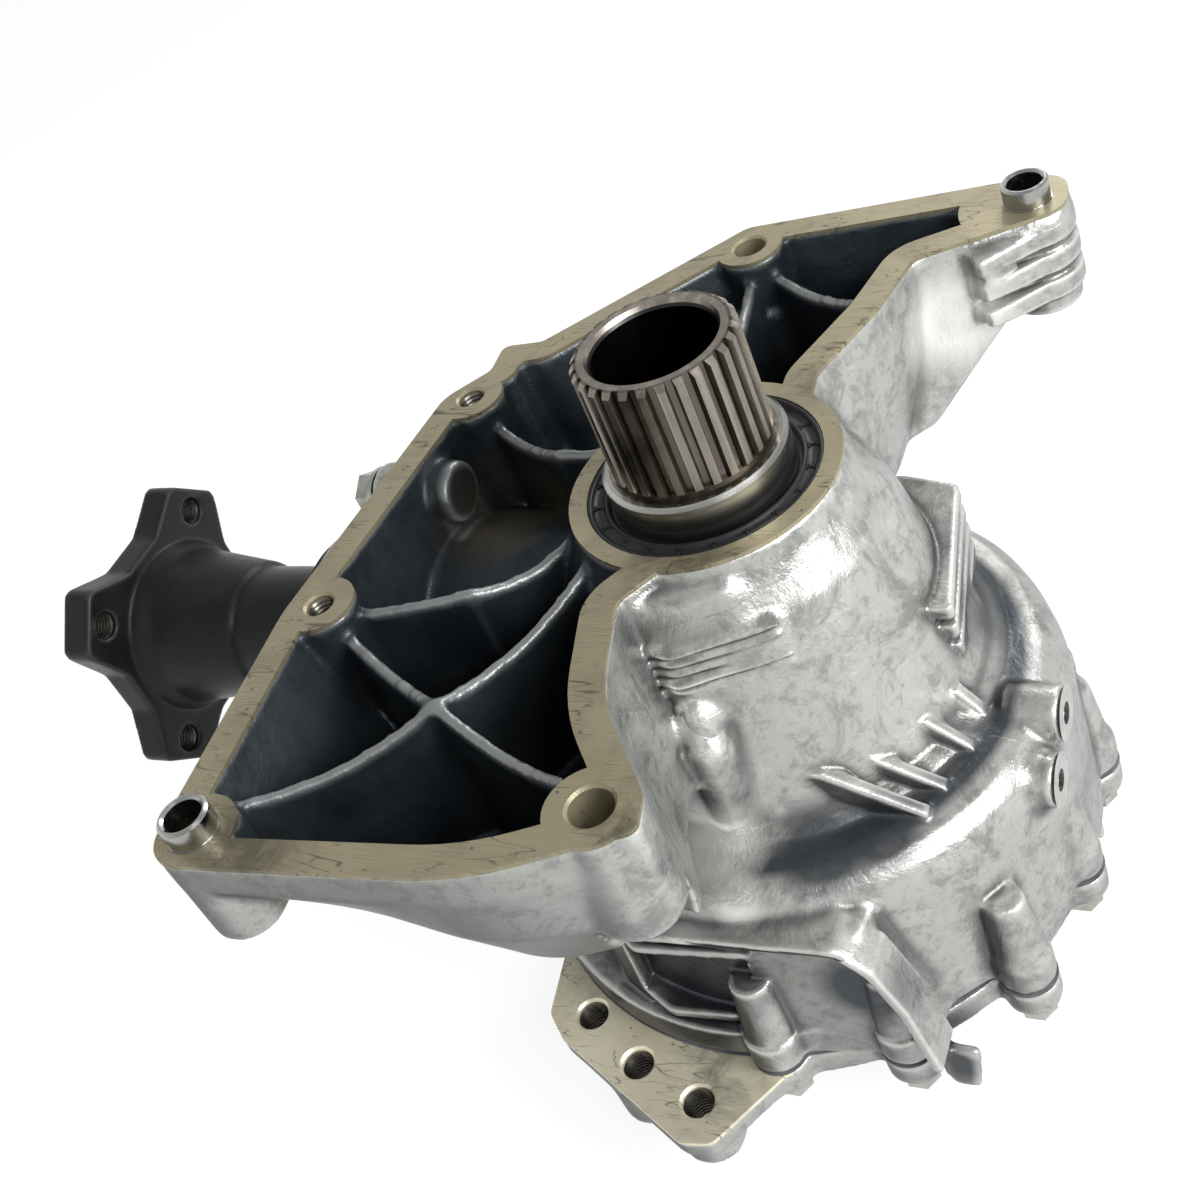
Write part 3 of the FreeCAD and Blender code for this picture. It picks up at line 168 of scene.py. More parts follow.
# How far along its normal a point of the pocket looks for open sky, and for the inside of the outline
SKY_GAP = 2.0
OUTLINE_GAP = 5.0
# Metallic share of the castings, and the tint of their reflection at a grazing angle
CAST_METALLIC = 0.62
GRAZING_TINT = (0.50, 0.51, 0.52, 1)
# Voxel size and rounds of smoothing of the housing, of the end cover and of the output flange
PLAIN_VOXEL = 1.2
PLAIN_ROUNDS = 9
COVER_VOXEL = 1.3
COVER_ROUNDS = 7
FLANGE_VOXEL = 0.9
FLANGE_ROUNDS = 5
# Rounds of smoothing between a skin and the wide shape that tells its hollows
HOLLOW_ROUNDS = 24
# Places of the housing with fine forms, which get a finer skin: name, low corner, high corner, and the
# share of the plain skin's rounding
FINE_PLACES = [
    ("grip_ribs", (-18, -68, -50), (44, -20, -9), 0.16),
    ("cooling_steps", (30, -22, -94), (76, 70, -40), 0.10),
    ("neck_gussets", (14, -74, -93), (84, -22, -57), 0.26),
    ("dowel_rings", (48, 104, -44), (92, 150, -3), 0.16),
    ("apron", (-48, -112, -153), (74, -72, -93), 0.16),
]
FINE_VOXEL = 0.55
# Places where the casting is rounder: low corner, high corner, extra rounds
SOFT_PLACES = [((-24, -70, -30), (36, -22, -3), 34), ((-9, -74, -47), (19, -50, -31), 70)]
SOFT_BORDER = 5.0
# Round finger on the buttress: x, y, radius, lowest and highest z
FINGER = (5.5, -60.5, 7.2, -88.0, -51.0)
# Belt where a fine skin meets the plain one: start and width, how far the plain skin sinks in it, and
# how wide and deep the fine skin's border dips
BELT_START = 1.0
BELT = 6.0
BELT_SINK = 1.0
BELT_EDGE = 2.5
BELT_DIP = 0.25
# Greatest gap over which a fine skin still covers the plain one
COVER_GAP = 3.0
# Search for hidden parts of a fine skin: ways looked along, points tried, and the share that must see out
SKY_WAYS = 12
SKY_RISE = 0.25
TRIED_POINTS = 60
SEEN_SHARE = 0.25
# Painted shade and dark reflections on the casting: place, reach and strength of each spot
PAINTED_SHADE_SPOTS = [
    ((45, -93, -117), 17, 0.95), ((-9, -91, -120), 28, 1.0), ((-13, -96, -138), 16, 1.0),
    ((34, -70, -83), 17, 0.9), ((49, -62, -84), 14, 0.9), ((60, 22, -66), 24, 0.6), ((52, 0, -66), 16, 0.5),
    ((61, -83, -162), 18, 0.9),
]
# Painted highlights: place and reach of each
PAINTED_HIGHLIGHT_SPOTS = [((3, -74, -83), 17), ((12, -88, -86), 10), ((46, 104, -26), 24), ((-4, -100, -90), 8)]
# Painted warm highlights in the pocket: place and reach of each
PAINTED_WARM_HIGHLIGHTS = [((-88, 12, -28), 26), ((-66, 24, -30), 18)]
# Oil on the milled faces: x, y and reach of each blot
FACE_OIL = [(-84, -146, 26), (4, -44, 22), (22, 38, 16), (-18, 42, 14), (20, -125, 14)]
PAD_OIL = [(-6, -112, 20)]
# Painted shade, darkest on faces that look away from here
SHADE_AWAY_FROM = (0.75, 0.25, 0.60)
# Channel between the neck and the shoulder, which gets painted shade: centre, inner and outer radius,
# lowest and highest z
CHANNEL = ((3.5, -6.0), 68.0, 77.5, -87.0, -66.0)
# Main colours, as shares of the light that is thrown back
ALUMINIUM_TONE = (0.445, 0.45, 0.428)
PAINTED_SHADE_TONE = (0.058, 0.064, 0.073)
WARM_HIGHLIGHT_TONE = (0.13, 0.115, 0.082)
MILLED_TONE = (0.335, 0.295, 0.195)
# The pad is the milled finish painted much lighter: painted light, since the pad lies in shade
LIT_PAD_TONE = (0.90, 0.81, 0.62)
RUBBER_TONE = (0.010, 0.010, 0.011)


def link(obj):
    bpy.context.scene.collection.objects.link(obj)
    return obj


def add_camera():
    data = bpy.data.cameras.new("camera")
    data.lens = CAMERA_LENS
    data.sensor_width = 36.0
    data.clip_start = 0.01
    camera = link(bpy.data.objects.new("camera", data))
    right, down, ahead = (Vector(v).normalized() for v in (CAMERA_RIGHT, CAMERA_DOWN, CAMERA_AHEAD))
    turn = Matrix((right, -down, -ahead)).transposed()
    camera.matrix_world = Matrix.Translation(CAMERA_PLACE) @ turn.to_4x4()
    bpy.context.scene.camera = camera


def add_lamp(name, place, target, size, power):
    data = bpy.data.lights.new(name, "AREA")
    data.shape = "RECTANGLE"
    data.size, data.size_y = size
    data.energy = power
    lamp = link(bpy.data.objects.new(name, data))
    lamp.location = place
    lamp.rotation_euler = (Vector(target) - Vector(place)).to_track_quat("-Z", "Y").to_euler()


def seen_directly(nodes, links):
    """Value that is 1 for camera, glossy and transmission rays."""
    path = nodes.new("ShaderNodeLightPath")
    total = nodes.new("ShaderNodeMath")
    total.operation = "ADD"
    total.use_clamp = True
    more = nodes.new("ShaderNodeMath")
    more.operation = "ADD"
    more.use_clamp = True
    links.new(path.outputs["Is Camera Ray"], total.inputs[0])
    links.new(path.outputs["Is Glossy Ray"], total.inputs[1])
    links.new(total.outputs[0], more.inputs[0])
    links.new(path.outputs["Is Transmission Ray"], more.inputs[1])
    return more.outputs[0]


def add_world():
    world = bpy.data.worlds.new("studio")
    world.use_nodes = True
    nodes, links = world.node_tree.nodes, world.node_tree.links
    nodes.clear()
    soft = nodes.new("ShaderNodeBackground")
    soft.inputs["Color"].default_value = (0.95, 0.97, 1.0, 1)
    soft.inputs["Strength"].default_value = SOFT_LIGHT
    white = nodes.new("ShaderNodeBackground")
    white.inputs["Color"].default_value = (1, 1, 1, 1)
    direction = nodes.new("ShaderNodeSeparateXYZ")
    links.new(nodes.new("ShaderNodeTexCoord").outputs["Generated"], direction.inputs[0])
    fade = nodes.new("ShaderNodeMapRange")
    for name, value in (("From Min", 0.25), ("From Max", 0.95), ("To Min", 1.0), ("To Max", OVERHEAD)):
        fade.inputs[name].default_value = value
    links.new(direction.outputs["Z"], fade.inputs["Value"])
    links.new(fade.outputs[0], white.inputs["Strength"])
    mix = nodes.new("ShaderNodeMixShader")
    out = nodes.new("ShaderNodeOutputWorld")
    links.new(seen_directly(nodes, links), mix.inputs[0])
    links.new(soft.outputs[0], mix.inputs[1])
    links.new(white.outputs[0], mix.inputs[2])
    links.new(mix.outputs[0], out.inputs[0])
    bpy.context.scene.world = world


def add_floor():
    mesh = bpy.data.meshes.new("floor")
    half = FLOOR_HALF
    z = CAD_BOX[0][2] - FLOOR_GAP
    corners = [(-half, -half, z), (half, -half, z), (half, half, z), (-half, half, z)]
    mesh.from_pydata(corners, [], [(0, 1, 2, 3)])
    floor = link(bpy.data.objects.new("floor", mesh))
    material = bpy.data.materials.new("floor")
    material.use_nodes = True
    nodes, links = material.node_tree.nodes, material.node_tree.links
    nodes.clear()
    matt = nodes.new("ShaderNodeBsdfDiffuse")
    matt.inputs["Color"].default_value = FLOOR_TONE
    glow = nodes.new("ShaderNodeEmission")
    glow.inputs["Color"].default_value = (1, 1, 1, 1)
    scale = nodes.new("ShaderNodeMath")
    scale.operation = "MULTIPLY"
    scale.inputs[1].default_value = FLOOR_WHITE
    total = nodes.new("ShaderNodeAddShader")
    out = nodes.new("ShaderNodeOutputMaterial")
    links.new(seen_directly(nodes, links), scale.inputs[0])
    links.new(scale.outputs[0], glow.inputs["Strength"])
    links.new(matt.outputs[0], total.inputs[0])
    links.new(glow.outputs[0], total.inputs[1])
    links.new(total.outputs[0], out.inputs[0])
    mesh.materials.append(material)


class Shader:
    """Small helper that builds one material's node tree."""

    def __init__(self, name):
        self.material = bpy.data.materials.new(name)
        self.material.use_nodes = True
        self.nodes = self.material.node_tree.nodes
        self.links = self.material.node_tree.links
        self.nodes.clear()
        self.bsdf = self.nodes.new("ShaderNodeBsdfPrincipled")
        out = self.nodes.new("ShaderNodeOutputMaterial")
        self.links.new(self.bsdf.outputs[0], out.inputs[0])
        self.place = self.nodes.new("ShaderNodeTexCoord").outputs["Object"]
        self.geometry = self.nodes.new("ShaderNodeNewGeometry")

    def put(self, value, socket):
        if hasattr(value, "is_linked"):
            self.links.new(value, socket)
        else:
            socket.default_value = value

    def set(self, **values):
        for name, value in values.items():
            self.put(value, self.bsdf.inputs[name.replace("_", " ")])
        return self

    def math(self, operation, a, b=0.0):
        node = self.nodes.new("ShaderNodeMath")
        node.operation = operation
        self.put(a, node.inputs[0])
        self.put(b, node.inputs[1])
        return node.outputs[0]

    def stretch(self, scale, turn=(0, 0, 0)):
        node = self.nodes.new("ShaderNodeMapping")
        node.inputs["Scale"].default_value = scale
        node.inputs["Rotation"].default_value = turn
        self.links.new(self.place, node.inputs[0])
        return node.outputs[0]

    def noise(self, scale, detail=3.0, rough=0.5, where=None, twist=0.0):
        node = self.nodes.new("ShaderNodeTexNoise")
        node.inputs["Scale"].default_value = scale
        node.inputs["Detail"].default_value = detail
        node.inputs["Roughness"].default_value = rough
        node.inputs["Distortion"].default_value = twist
        self.links.new(where or self.place, node.inputs["Vector"])
        return node.outputs["Fac"]

    def specks(self, scale):
        """Distance from the nearest of many scattered points."""
        node = self.nodes.new("ShaderNodeTexVoronoi")
        node.inputs["Scale"].default_value = scale
        self.links.new(self.place, node.inputs["Vector"])
        return node.outputs["Distance"]

    def ramp(self, value, stops):
        node = self.nodes.new("ShaderNodeValToRGB")
        points = node.color_ramp.elements
        while len(points) < len(stops):
            points.new(0.5)
        for point, (place, colour) in zip(points, stops):
            point.position = place
            if isinstance(colour, (int, float)):
                colour = (colour, colour, colour)
            point.color = (*colour, 1)
        self.put(value, node.inputs[0])
        return node.outputs[0]

    def mix(self, factor, a, b):
        node = self.nodes.new("ShaderNodeMix")
        node.data_type = "RGBA"
        self.put(factor, node.inputs[0])
        for value, socket in ((a, node.inputs[6]), (b, node.inputs[7])):
            if isinstance(value, tuple) and len(value) == 3:
                value = (*value, 1)
            self.put(value, socket)
        return node.outputs[2]

    def attribute(self, name):
        node = self.nodes.new("ShaderNodeAttribute")
        node.attribute_name = name
        return node.outputs["Fac"]

    def axis(self, vector, name):
        node = self.nodes.new("ShaderNodeSeparateXYZ")
        self.links.new(vector, node.inputs[0])
        return node.outputs[name]

    def along(self, vector, direction):
        node = self.nodes.new("ShaderNodeVectorMath")
        node.operation = "DOT_PRODUCT"
        node.inputs[1].default_value = direction
        self.links.new(vector, node.inputs[0])
        return node.outputs["Value"]

    def distance(self, place, reach, where=None):
        """Distance from a place, as a share of a reach."""
        node = self.nodes.new("ShaderNodeVectorMath")
        node.operation = "DISTANCE"
        node.inputs[1].default_value = [c * MM for c in place]
        self.links.new(where or self.place, node.inputs[0])
        return self.math("DIVIDE", node.outputs["Value"], reach * MM)

    def radius(self, centre=(0, 0), unit=1.0):
        """Distance from an upright line, as a share of a unit."""
        flat = self.nodes.new("ShaderNodeVectorMath")
        flat.operation = "MULTIPLY"
        flat.inputs[1].default_value = (1, 1, 0)
        self.links.new(self.place, flat.inputs[0])
        return self.distance((*centre, 0), unit, flat.outputs[0])

    def channel(self, centre, inner, outer, low, high):
        """1 in a ring about an upright line, with soft borders, and 0 elsewhere."""
        radius = self.radius(centre, outer)
        above = self.math("SUBTRACT", self.axis(self.place, "Z"), low * MM)
        height = self.math("DIVIDE", above, (high - low) * MM)
        start = inner / outer
        across = self.ramp(radius, [(start - 0.04, 0.0), (start + 0.04, 1.0), (0.96, 1.0), (1.0, 0.0)])
        upward = self.ramp(height, [(0.0, 0.0), (0.06, 1.0), (0.60, 0.85), (1.0, 0.0)])
        return self.math("MULTIPLY", across, upward)

    def bump(self, height, strength, distance, under=None):
        node = self.nodes.new("ShaderNodeBump")
        node.inputs["Strength"].default_value = strength
        node.inputs["Distance"].default_value = distance
        self.links.new(height, node.inputs["Height"])
        if under:
            self.links.new(under, node.inputs["Normal"])
        return node.outputs[0]


def shades(tone, *factors):
    """The same colour made lighter or darker."""
    return [tuple(min(1.0, c * factor) for c in tone) for factor in factors]


def cast_metal(name, tone, spots=(), channel=None, warm=(), highlight_spots=()):
    """Die-cast aluminium: mottled skin with painted shade in its hollows, on the side away from the light
    and in set spots, painted highlights, and dark slate paint for the shade inside its pockets.
    """
    s = Shader(name)
    dark, low, high, bright = shades(tone, 0.31, 0.58, 1.28, 1.75)
    cloud = s.noise(34.0, 7.0, 0.70, twist=0.6)
    patch = s.noise(150.0, 6.0, 0.74, twist=0.4)
    fleck = s.noise(420.0, 4.0, 0.7)
    skin = s.ramp(cloud, [(0.36, low), (0.47, tone), (0.56, tone), (0.68, high)])
    skin = s.mix(s.ramp(patch, [(0.50, 0.0), (0.62, 0.75)]), skin, low)
    skin = s.mix(s.ramp(patch, [(0.30, 0.55), (0.42, 0.0)]), skin, high)
    skin = s.mix(s.ramp(fleck, [(0.58, 0.0), (0.72, 0.5)]), skin, low)
    hollow = s.attribute("hollow")
    edge = s.attribute("edge")
    inside = s.attribute("inside")
    # Hollows are painted darker: painted shade
    skin = s.mix(s.ramp(hollow, [(0.26, 0.95), (0.48, 0.0)]), skin, dark)
    # Faces that look away from the lit side are painted darker: painted shade
    towards = s.along(s.geometry.outputs["True Normal"], SHADE_AWAY_FROM)
    facing = s.math("ADD", s.math("MULTIPLY", towards, 0.5), 0.5)
    skin = s.mix(s.ramp(facing, [(0.30, 0.92), (0.56, 0.0)]), skin, dark)
    uneven_shade = s.ramp(cloud, [(0.30, 0.62), (0.46, 1.0)])
    # Set spots get painted shade and dark reflections, broken up by the cloud noise
    for place, reach, strength in spots:
        spot = s.ramp(s.distance(place, reach), [(0.55, strength), (1.0, 0.0)])
        skin = s.mix(s.math("MULTIPLY", spot, uneven_shade), skin, PAINTED_SHADE_TONE)
    # The channel between the neck and the shoulder gets painted shade
    if channel:
        skin = s.mix(s.math("MULTIPLY", s.channel(*channel), uneven_shade), skin, PAINTED_SHADE_TONE)
    # Painted highlights at set places
    for place, reach in highlight_spots:
        skin = s.mix(s.ramp(s.distance(place, reach), [(0.40, 1.0), (1.0, 0.0)]), skin, bright)
    # Sharp edges get painted highlights
    skin = s.mix(s.ramp(edge, [(0.62, 0.0), (0.86, 0.55)]), skin, bright)
    # The open pocket is painted dark slate: painted shade inside it
    depths = [(0.35, (0.022, 0.029, 0.036)), (0.68, (0.060, 0.072, 0.082))]
    slate = s.ramp(s.noise(26.0, 4.0, 0.6), depths)
    # Painted warm highlights in the pocket
    for place, reach in warm:
        slate = s.mix(s.ramp(s.distance(place, reach), [(0.30, 0.85), (1.0, 0.0)]), slate, WARM_HIGHLIGHT_TONE)
    # Rib tops in the pocket get painted highlights
    slate = s.mix(s.ramp(edge, [(0.56, 0.0), (0.80, 0.75)]), slate, (0.34, 0.35, 0.35))
    # Hollows of the pocket get deeper painted shade
    slate = s.mix(s.ramp(hollow, [(0.15, 0.5), (0.45, 0.0)]), slate, (0.012, 0.015, 0.018))
    colour = s.mix(inside, skin, slate)
    rough_skin = s.ramp(cloud, [(0.3, 0.22), (0.7, 0.42)])
    rough = s.mix(inside, rough_skin, s.ramp(patch, [(0.3, 0.30), (0.7, 0.44)]))
    grain = s.math("ADD", s.math("MULTIPLY", patch, 0.7), s.math("MULTIPLY", s.noise(1100.0, 2.0), 0.3))
    lumps = s.bump(cloud, 0.45, 0.0020)
    s.set(Base_Color=colour, Metallic=CAST_METALLIC, Roughness=rough, Specular_Tint=GRAZING_TINT,
          Normal=s.bump(grain, 0.25, 0.0005, lumps))
    return s.material


def milled_metal(name, tone, blots, level=0.0):
    """Face cut by a mill: fine crossing marks, scratches, pits and oil stains."""
    s = Shader(name)
    dark, low, high = shades(tone, 0.28, 0.72, 1.22)
    marks = s.noise(1.0, 2.0, 0.5, where=s.stretch((60, 2600, 60), (0, 0, 0.95)))
    cross = s.noise(1.0, 3.0, 0.6, where=s.stretch((2300, 50, 60), (0, 0, 0.4)))
    stain = s.noise(30.0, 6.0, 0.7, twist=1.0)
    wide = s.noise(11.0, 4.0, 0.6)
    pits = s.specks(120.0)
    face = s.mix(s.ramp(marks, [(0.38, 0.0), (0.70, 0.45)]), tone, low)
    face = s.mix(s.ramp(cross, [(0.58, 0.0), (0.76, 0.4)]), face, high)
    face = s.mix(s.ramp(wide, [(0.42, 0.0), (0.66, 0.7)]), face, high)
    face = s.mix(s.ramp(stain, [(0.50, 0.0), (0.68, 0.75)]), face, low)
    face = s.mix(s.ramp(pits, [(0.045, 0.9), (0.065, 0.0)]), face, dark)
    for turn, scale in ((0.9, 34), (-0.5, 26), (0.2, 42)):
        line = s.noise(1.0, 1.0, 0.4, where=s.stretch((scale, scale * 7, 60), (0, 0, turn)))
        thin = s.math("ABSOLUTE", s.math("SUBTRACT", line, 0.5))
        seldom = s.ramp(s.noise(24.0 + scale, 2.0), [(0.50, 0.0), (0.58, 0.9)])
        face = s.mix(s.math("MULTIPLY", s.ramp(thin, [(0.0, 1.0), (0.010, 0.0)]), seldom), face, dark)
    for x, y, reach in blots:
        blot = s.ramp(s.distance((x, y, level), reach), [(0.35, 1.0), (1.0, 0.0)])
        smear = s.math("MULTIPLY", blot, s.ramp(stain, [(0.40, 0.0), (0.58, 0.85)]))
        face = s.mix(smear, face, dark)
    rough = s.ramp(marks, [(0.3, 0.36), (0.7, 0.54)])
    s.set(Base_Color=face, Metallic=0.6, Roughness=rough, Normal=s.bump(marks, 0.12, 0.0001))
    return s.material


def steel(name, tone, rough, wear=0.5, scale=60.0):
    """Machined steel with smudges, brighter patches and a fine grain."""
    s = Shader(name)
    smudge = s.noise(scale, 4.0, 0.6, twist=0.6)
    fine = s.noise(scale * 9, 2.0, 0.5)
    low, high = shades(tone, 1 - 0.4 * wear, 1 + 0.5 * wear)
    s.set(Base_Color=s.ramp(smudge, [(0.3, low), (0.7, high)]), Metallic=1.0,
          Roughness=s.ramp(fine, [(0.25, rough - 0.08), (0.75, rough + 0.10)]),
          Normal=s.bump(fine, 0.03, 0.00004))
    return s.material


def shaft_metal(name):
    """Dark oiled steel with brighter streaks and a polished band where the seal runs, and painted shade in
    the grooves and the bore.
    """
    s = Shader(name)
    smudge = s.noise(45.0, 5.0, 0.65, twist=0.8)
    streak = s.noise(1.0, 3.0, 0.6, where=s.stretch((260, 260, 9)))
    tone = s.ramp(smudge, [(0.30, (0.15, 0.133, 0.113)), (0.70, (0.28, 0.25, 0.215))])
    tone = s.mix(s.ramp(streak, [(0.45, 0.0), (0.70, 0.6)]), tone, (0.44, 0.40, 0.35))
    radius = s.radius()
    height = s.math("DIVIDE", s.axis(s.place, "Z"), MM)
    outside_root = s.math("GREATER_THAN", radius, GROOVE_INNER_R)
    groove_shade = s.math("MULTIPLY", s.math("LESS_THAN", radius, GROOVE_OUTER_R), outside_root)
    # Painted shade in the spline's grooves and in the bore
    tone = s.mix(s.math("MULTIPLY", groove_shade, 0.6), tone, (0.040, 0.036, 0.031))
    tone = s.mix(s.math("LESS_THAN", radius, BORE_R), tone, (0.030, 0.030, 0.028))
    below = s.math("LESS_THAN", height, COLLAR_TOP)
    band = s.math("MULTIPLY", s.math("GREATER_THAN", radius, COLLAR_R), below)
    rings = s.noise(1.0, 3.0, 0.6, where=s.stretch((30, 30, 500)))
    polished = s.ramp(rings, [(0.3, (0.24, 0.24, 0.225)), (0.7, (0.46, 0.46, 0.44))])
    tone = s.mix(band, tone, polished)
    rough = s.mix(band, s.ramp(smudge, [(0.3, 0.24), (0.7, 0.38)]), (0.26, 0.26, 0.26))
    s.set(Base_Color=tone, Metallic=1.0, Roughness=rough, Normal=s.bump(streak, 0.08, 0.0002))
    return s.material


def black_paint(name):
    """Black satin coating with painted highlights on its edges and a little dust."""
    s = Shader(name)
    dust = s.noise(55.0, 5.0, 0.7)
    colour = s.ramp(dust, [(0.35, (0.006, 0.007, 0.008)), (0.75, (0.016, 0.017, 0.019))])
    colour = s.mix(s.ramp(s.specks(420.0), [(0.02, 0.4), (0.08, 0.0)]), colour, (0.10, 0.10, 0.10))
    # Edges get painted highlights
    colour = s.mix(s.ramp(s.attribute("edge"), [(0.66, 0.0), (0.90, 0.6)]), colour, (0.07, 0.07, 0.075))
    rough = s.ramp(dust, [(0.3, 0.30), (0.7, 0.46)])
    s.set(Base_Color=colour, Roughness=rough, Specular_IOR_Level=0.22,
          Normal=s.bump(s.noise(700.0, 2.0), 0.06, 0.0002))
    return s.material


def rubber(name, lighter=1.0):
    """Dull black rubber with a faint bloom."""
    s = Shader(name)
    bloom = s.noise(90.0, 4.0, 0.6)
    low, high = shades(RUBBER_TONE, lighter, 2.4 * lighter)
    s.set(Base_Color=s.ramp(bloom, [(0.3, low), (0.75, high)]), Specular_IOR_Level=0.22,
          Roughness=s.ramp(bloom, [(0.3, 0.34), (0.7, 0.52)]), Normal=s.bump(s.noise(1200.0), 0.08, 0.0001))
    return s.material


def plain_mesh(obj):
    """Vertices and edges of an object's mesh as arrays."""
    mesh = obj.data
    count = len(mesh.vertices)
    place = np.empty(count * 3)
    mesh.vertices.foreach_get("co", place)
    pairs = np.empty(len(mesh.edges) * 2, dtype=np.int64)
    mesh.edges.foreach_get("vertices", pairs)
    return place.reshape(-1, 3), pairs.reshape(-1, 2)


def neighbour_mean(place, pairs, count):
    """Mean of each point's neighbours along the edges."""
    a, b = pairs[:, 0], pairs[:, 1]
    size = len(place)
    mean = np.empty_like(place)
    for axis, value in enumerate(place.T):
        mean[:, axis] = (np.bincount(a, value[b], size) + np.bincount(b, value[a], size)) / count
    return mean


def inside_outline(x, y, outline):
    """Even-odd test of many points against one closed outline."""
    hit = np.zeros(len(x), dtype=bool)
    before = outline[-1]
    for here in outline:
        spans = (here[1] > y) != (before[1] > y)
        slope = (before[0] - here[0]) / ((before[1] - here[1]) or 1e-9)
        hit ^= spans & (x < here[0] + slope * (y - here[1]))
        before = here
    return hit


def smoothed(place, pairs, count, rounds, free):
    """Points drawn towards their neighbours round after round, each as far as it is free to move."""
    for _ in range(rounds):
        place = place + (neighbour_mean(place, pairs, count) - place) * 0.5 * free
    return place


def open_holes(place, holes, top):
    """Widen the holes near a milled face a little, so that their cut walls line them."""
    for x, y, radius, depth in holes:
        away = place[:, :2] - (x, y)
        distance = np.hypot(*away.T)
        lining = (distance < radius + HOLE_ROOM) & (distance > radius * 0.5) & (place[:, 2] > top - depth)
        place[lining, :2] = (x, y) + away[lining] * ((radius + HOLE_ROOM) / distance[lining])[:, None]
    return place


def add_finger(work):
    """Closed round finger, put into the housing's mesh before it is remeshed."""
    x, y, radius, low, high = (value * MM for value in FINGER)
    middle = Matrix.Translation((x, y, (low + high) / 2))
    tip = Matrix.Translation((x, y, high))
    bmesh.ops.create_cone(work, cap_ends=True, segments=48, radius1=radius, radius2=radius,
                          depth=high - low, matrix=middle)
    bmesh.ops.create_uvsphere(work, u_segments=48, v_segments=24, radius=radius, matrix=tip)


def smoothed_part(place, pairs, count, rounds, free):
    """The same as smoothed, worked out only for the points that may move."""
    near = (free[:, 0] > 0)[pairs].any(1)
    used = np.unique(pairs[near])
    number = np.zeros(len(place), dtype=np.int64)
    number[used] = np.arange(len(used))
    place = place.copy()
    place[used] = smoothed(place[used], number[pairs[near]], count[used], rounds, free[used])
    return place


def voxel_mesh(name, node, voxel, box=None):
    """Voxel copy of a CAD node, or of the part of it inside a box."""
    work = bmesh.new()
    work.from_mesh(NODES[node].data)
    bmesh.ops.remove_doubles(work, verts=work.verts, dist=0.001 * MM)
    rough = link(bpy.data.objects.new(name + "_source", bpy.data.meshes.new(name + "_source")))
    if node == "main_housing" and not box:
        add_finger(work)
    work.to_mesh(rough.data)
    work.clear()
    block = link(bpy.data.objects.new(name + "_block", bpy.data.meshes.new(name + "_block")))
    if box:
        low, high = (Vector(corner) * MM for corner in box)
        size = Matrix.Diagonal((*(high - low), 1))
        bmesh.ops.create_cube(work, size=1.0, matrix=Matrix.Translation((low + high) / 2) @ size)
        work.to_mesh(block.data)
        cut = rough.modifiers.new("crop", "BOOLEAN")
        cut.operation = "INTERSECT"
        cut.solver = "EXACT"
        cut.object = block
    work.free()
    remesh = rough.modifiers.new("remesh", "REMESH")
    remesh.mode = "VOXEL"
    remesh.voxel_size = voxel * MM
    remesh.adaptivity = 0.0
    graph = bpy.context.evaluated_depsgraph_get()
    mesh = bpy.data.meshes.new_from_object(rough.evaluated_get(graph))
    bpy.data.objects.remove(rough)
    bpy.data.objects.remove(block)
    mesh.materials.clear()
    return link(bpy.data.objects.new(name, mesh))


def drop_points(obj, gone):
    """Delete the marked vertices of a mesh and the faces on them."""
    work = bmesh.new()
    work.from_mesh(obj.data)
    work.verts.ensure_lookup_table()
    bmesh.ops.delete(work, geom=[work.verts[i] for i in np.flatnonzero(gone)], context="VERTS")
    work.to_mesh(obj.data)
    work.free()


def vertex_normals(mesh):
    normals = np.empty(len(mesh.vertices) * 3)
    mesh.vertices.foreach_get("normal", normals)
    return normals.reshape(-1, 3)


def islands(pairs, count):
    """Number of the connected part that each vertex belongs to."""
    label = np.arange(count)
    while True:
        least = np.minimum(label[pairs[:, 0]], label[pairs[:, 1]])
        before = label.copy()
        np.minimum.at(label, pairs[:, 0], least)
        np.minimum.at(label, pairs[:, 1], least)
        label = label[label]
        if (label == before).all():
            return label


def node_tree(node):
    work = bmesh.new()
    work.from_mesh(NODES[node].data)
    tree = BVHTree.FromBMesh(work)
    work.free()
    return tree


def hidden_parts(place, normals, pairs, tree):
    """Marks the connected parts of a skin of which too little sees the open sky."""
    label = islands(pairs, len(place))
    hidden = np.zeros(len(place), dtype=bool)
    angles = np.arange(0, math.tau, math.tau / SKY_WAYS)
    skyward = [Vector((math.cos(a), math.sin(a), SKY_RISE)) for a in angles]
    for name in np.unique(label):
        members = np.flatnonzero(label == name)
        tried = members[::max(1, len(members) // TRIED_POINTS)]
        free = 0
        for i in tried:
            normal = Vector(normals[i])
            start = (Vector(place[i]) + normal * 0.5) * MM
            free += any(way.dot(normal) > 0.2 and tree.ray_cast(start, way)[0] is None for way in skyward)
        hidden[members] = free < SEEN_SHARE * len(tried)
    return hidden


def skin_layers(mesh, place, pairs, count, voxel, inner):
    """Vertex attributes for the materials: edges, hollows, and the inside of pockets."""
    finer = PLAIN_VOXEL / voxel
    rounds = round(HOLLOW_ROUNDS * finer * finer)
    normals = vertex_normals(mesh)
    bend = ((place - neighbour_mean(place, pairs, count)) * normals).sum(1, keepdims=True) / voxel * finer
    bend = smoothed(bend, pairs, count, round(2 * finer * finer), 1.0)
    wide = smoothed(place, pairs, count, rounds, 1.0)
    hollow = smoothed(((place - wide) * normals).sum(1, keepdims=True), pairs, count, 3, 1.0)
    layers = {
        "edge": np.clip(0.5 + bend[:, 0] * 4.0, 0, 1),
        "hollow": np.clip(0.5 + hollow[:, 0] * 0.5, 0, 1),
        "inside": inner[:, 0],
    }
    for label, values in layers.items():
        layer = mesh.attributes.new(label, "FLOAT", "POINT")
        layer.data.foreach_set("value", values.astype(np.float32))


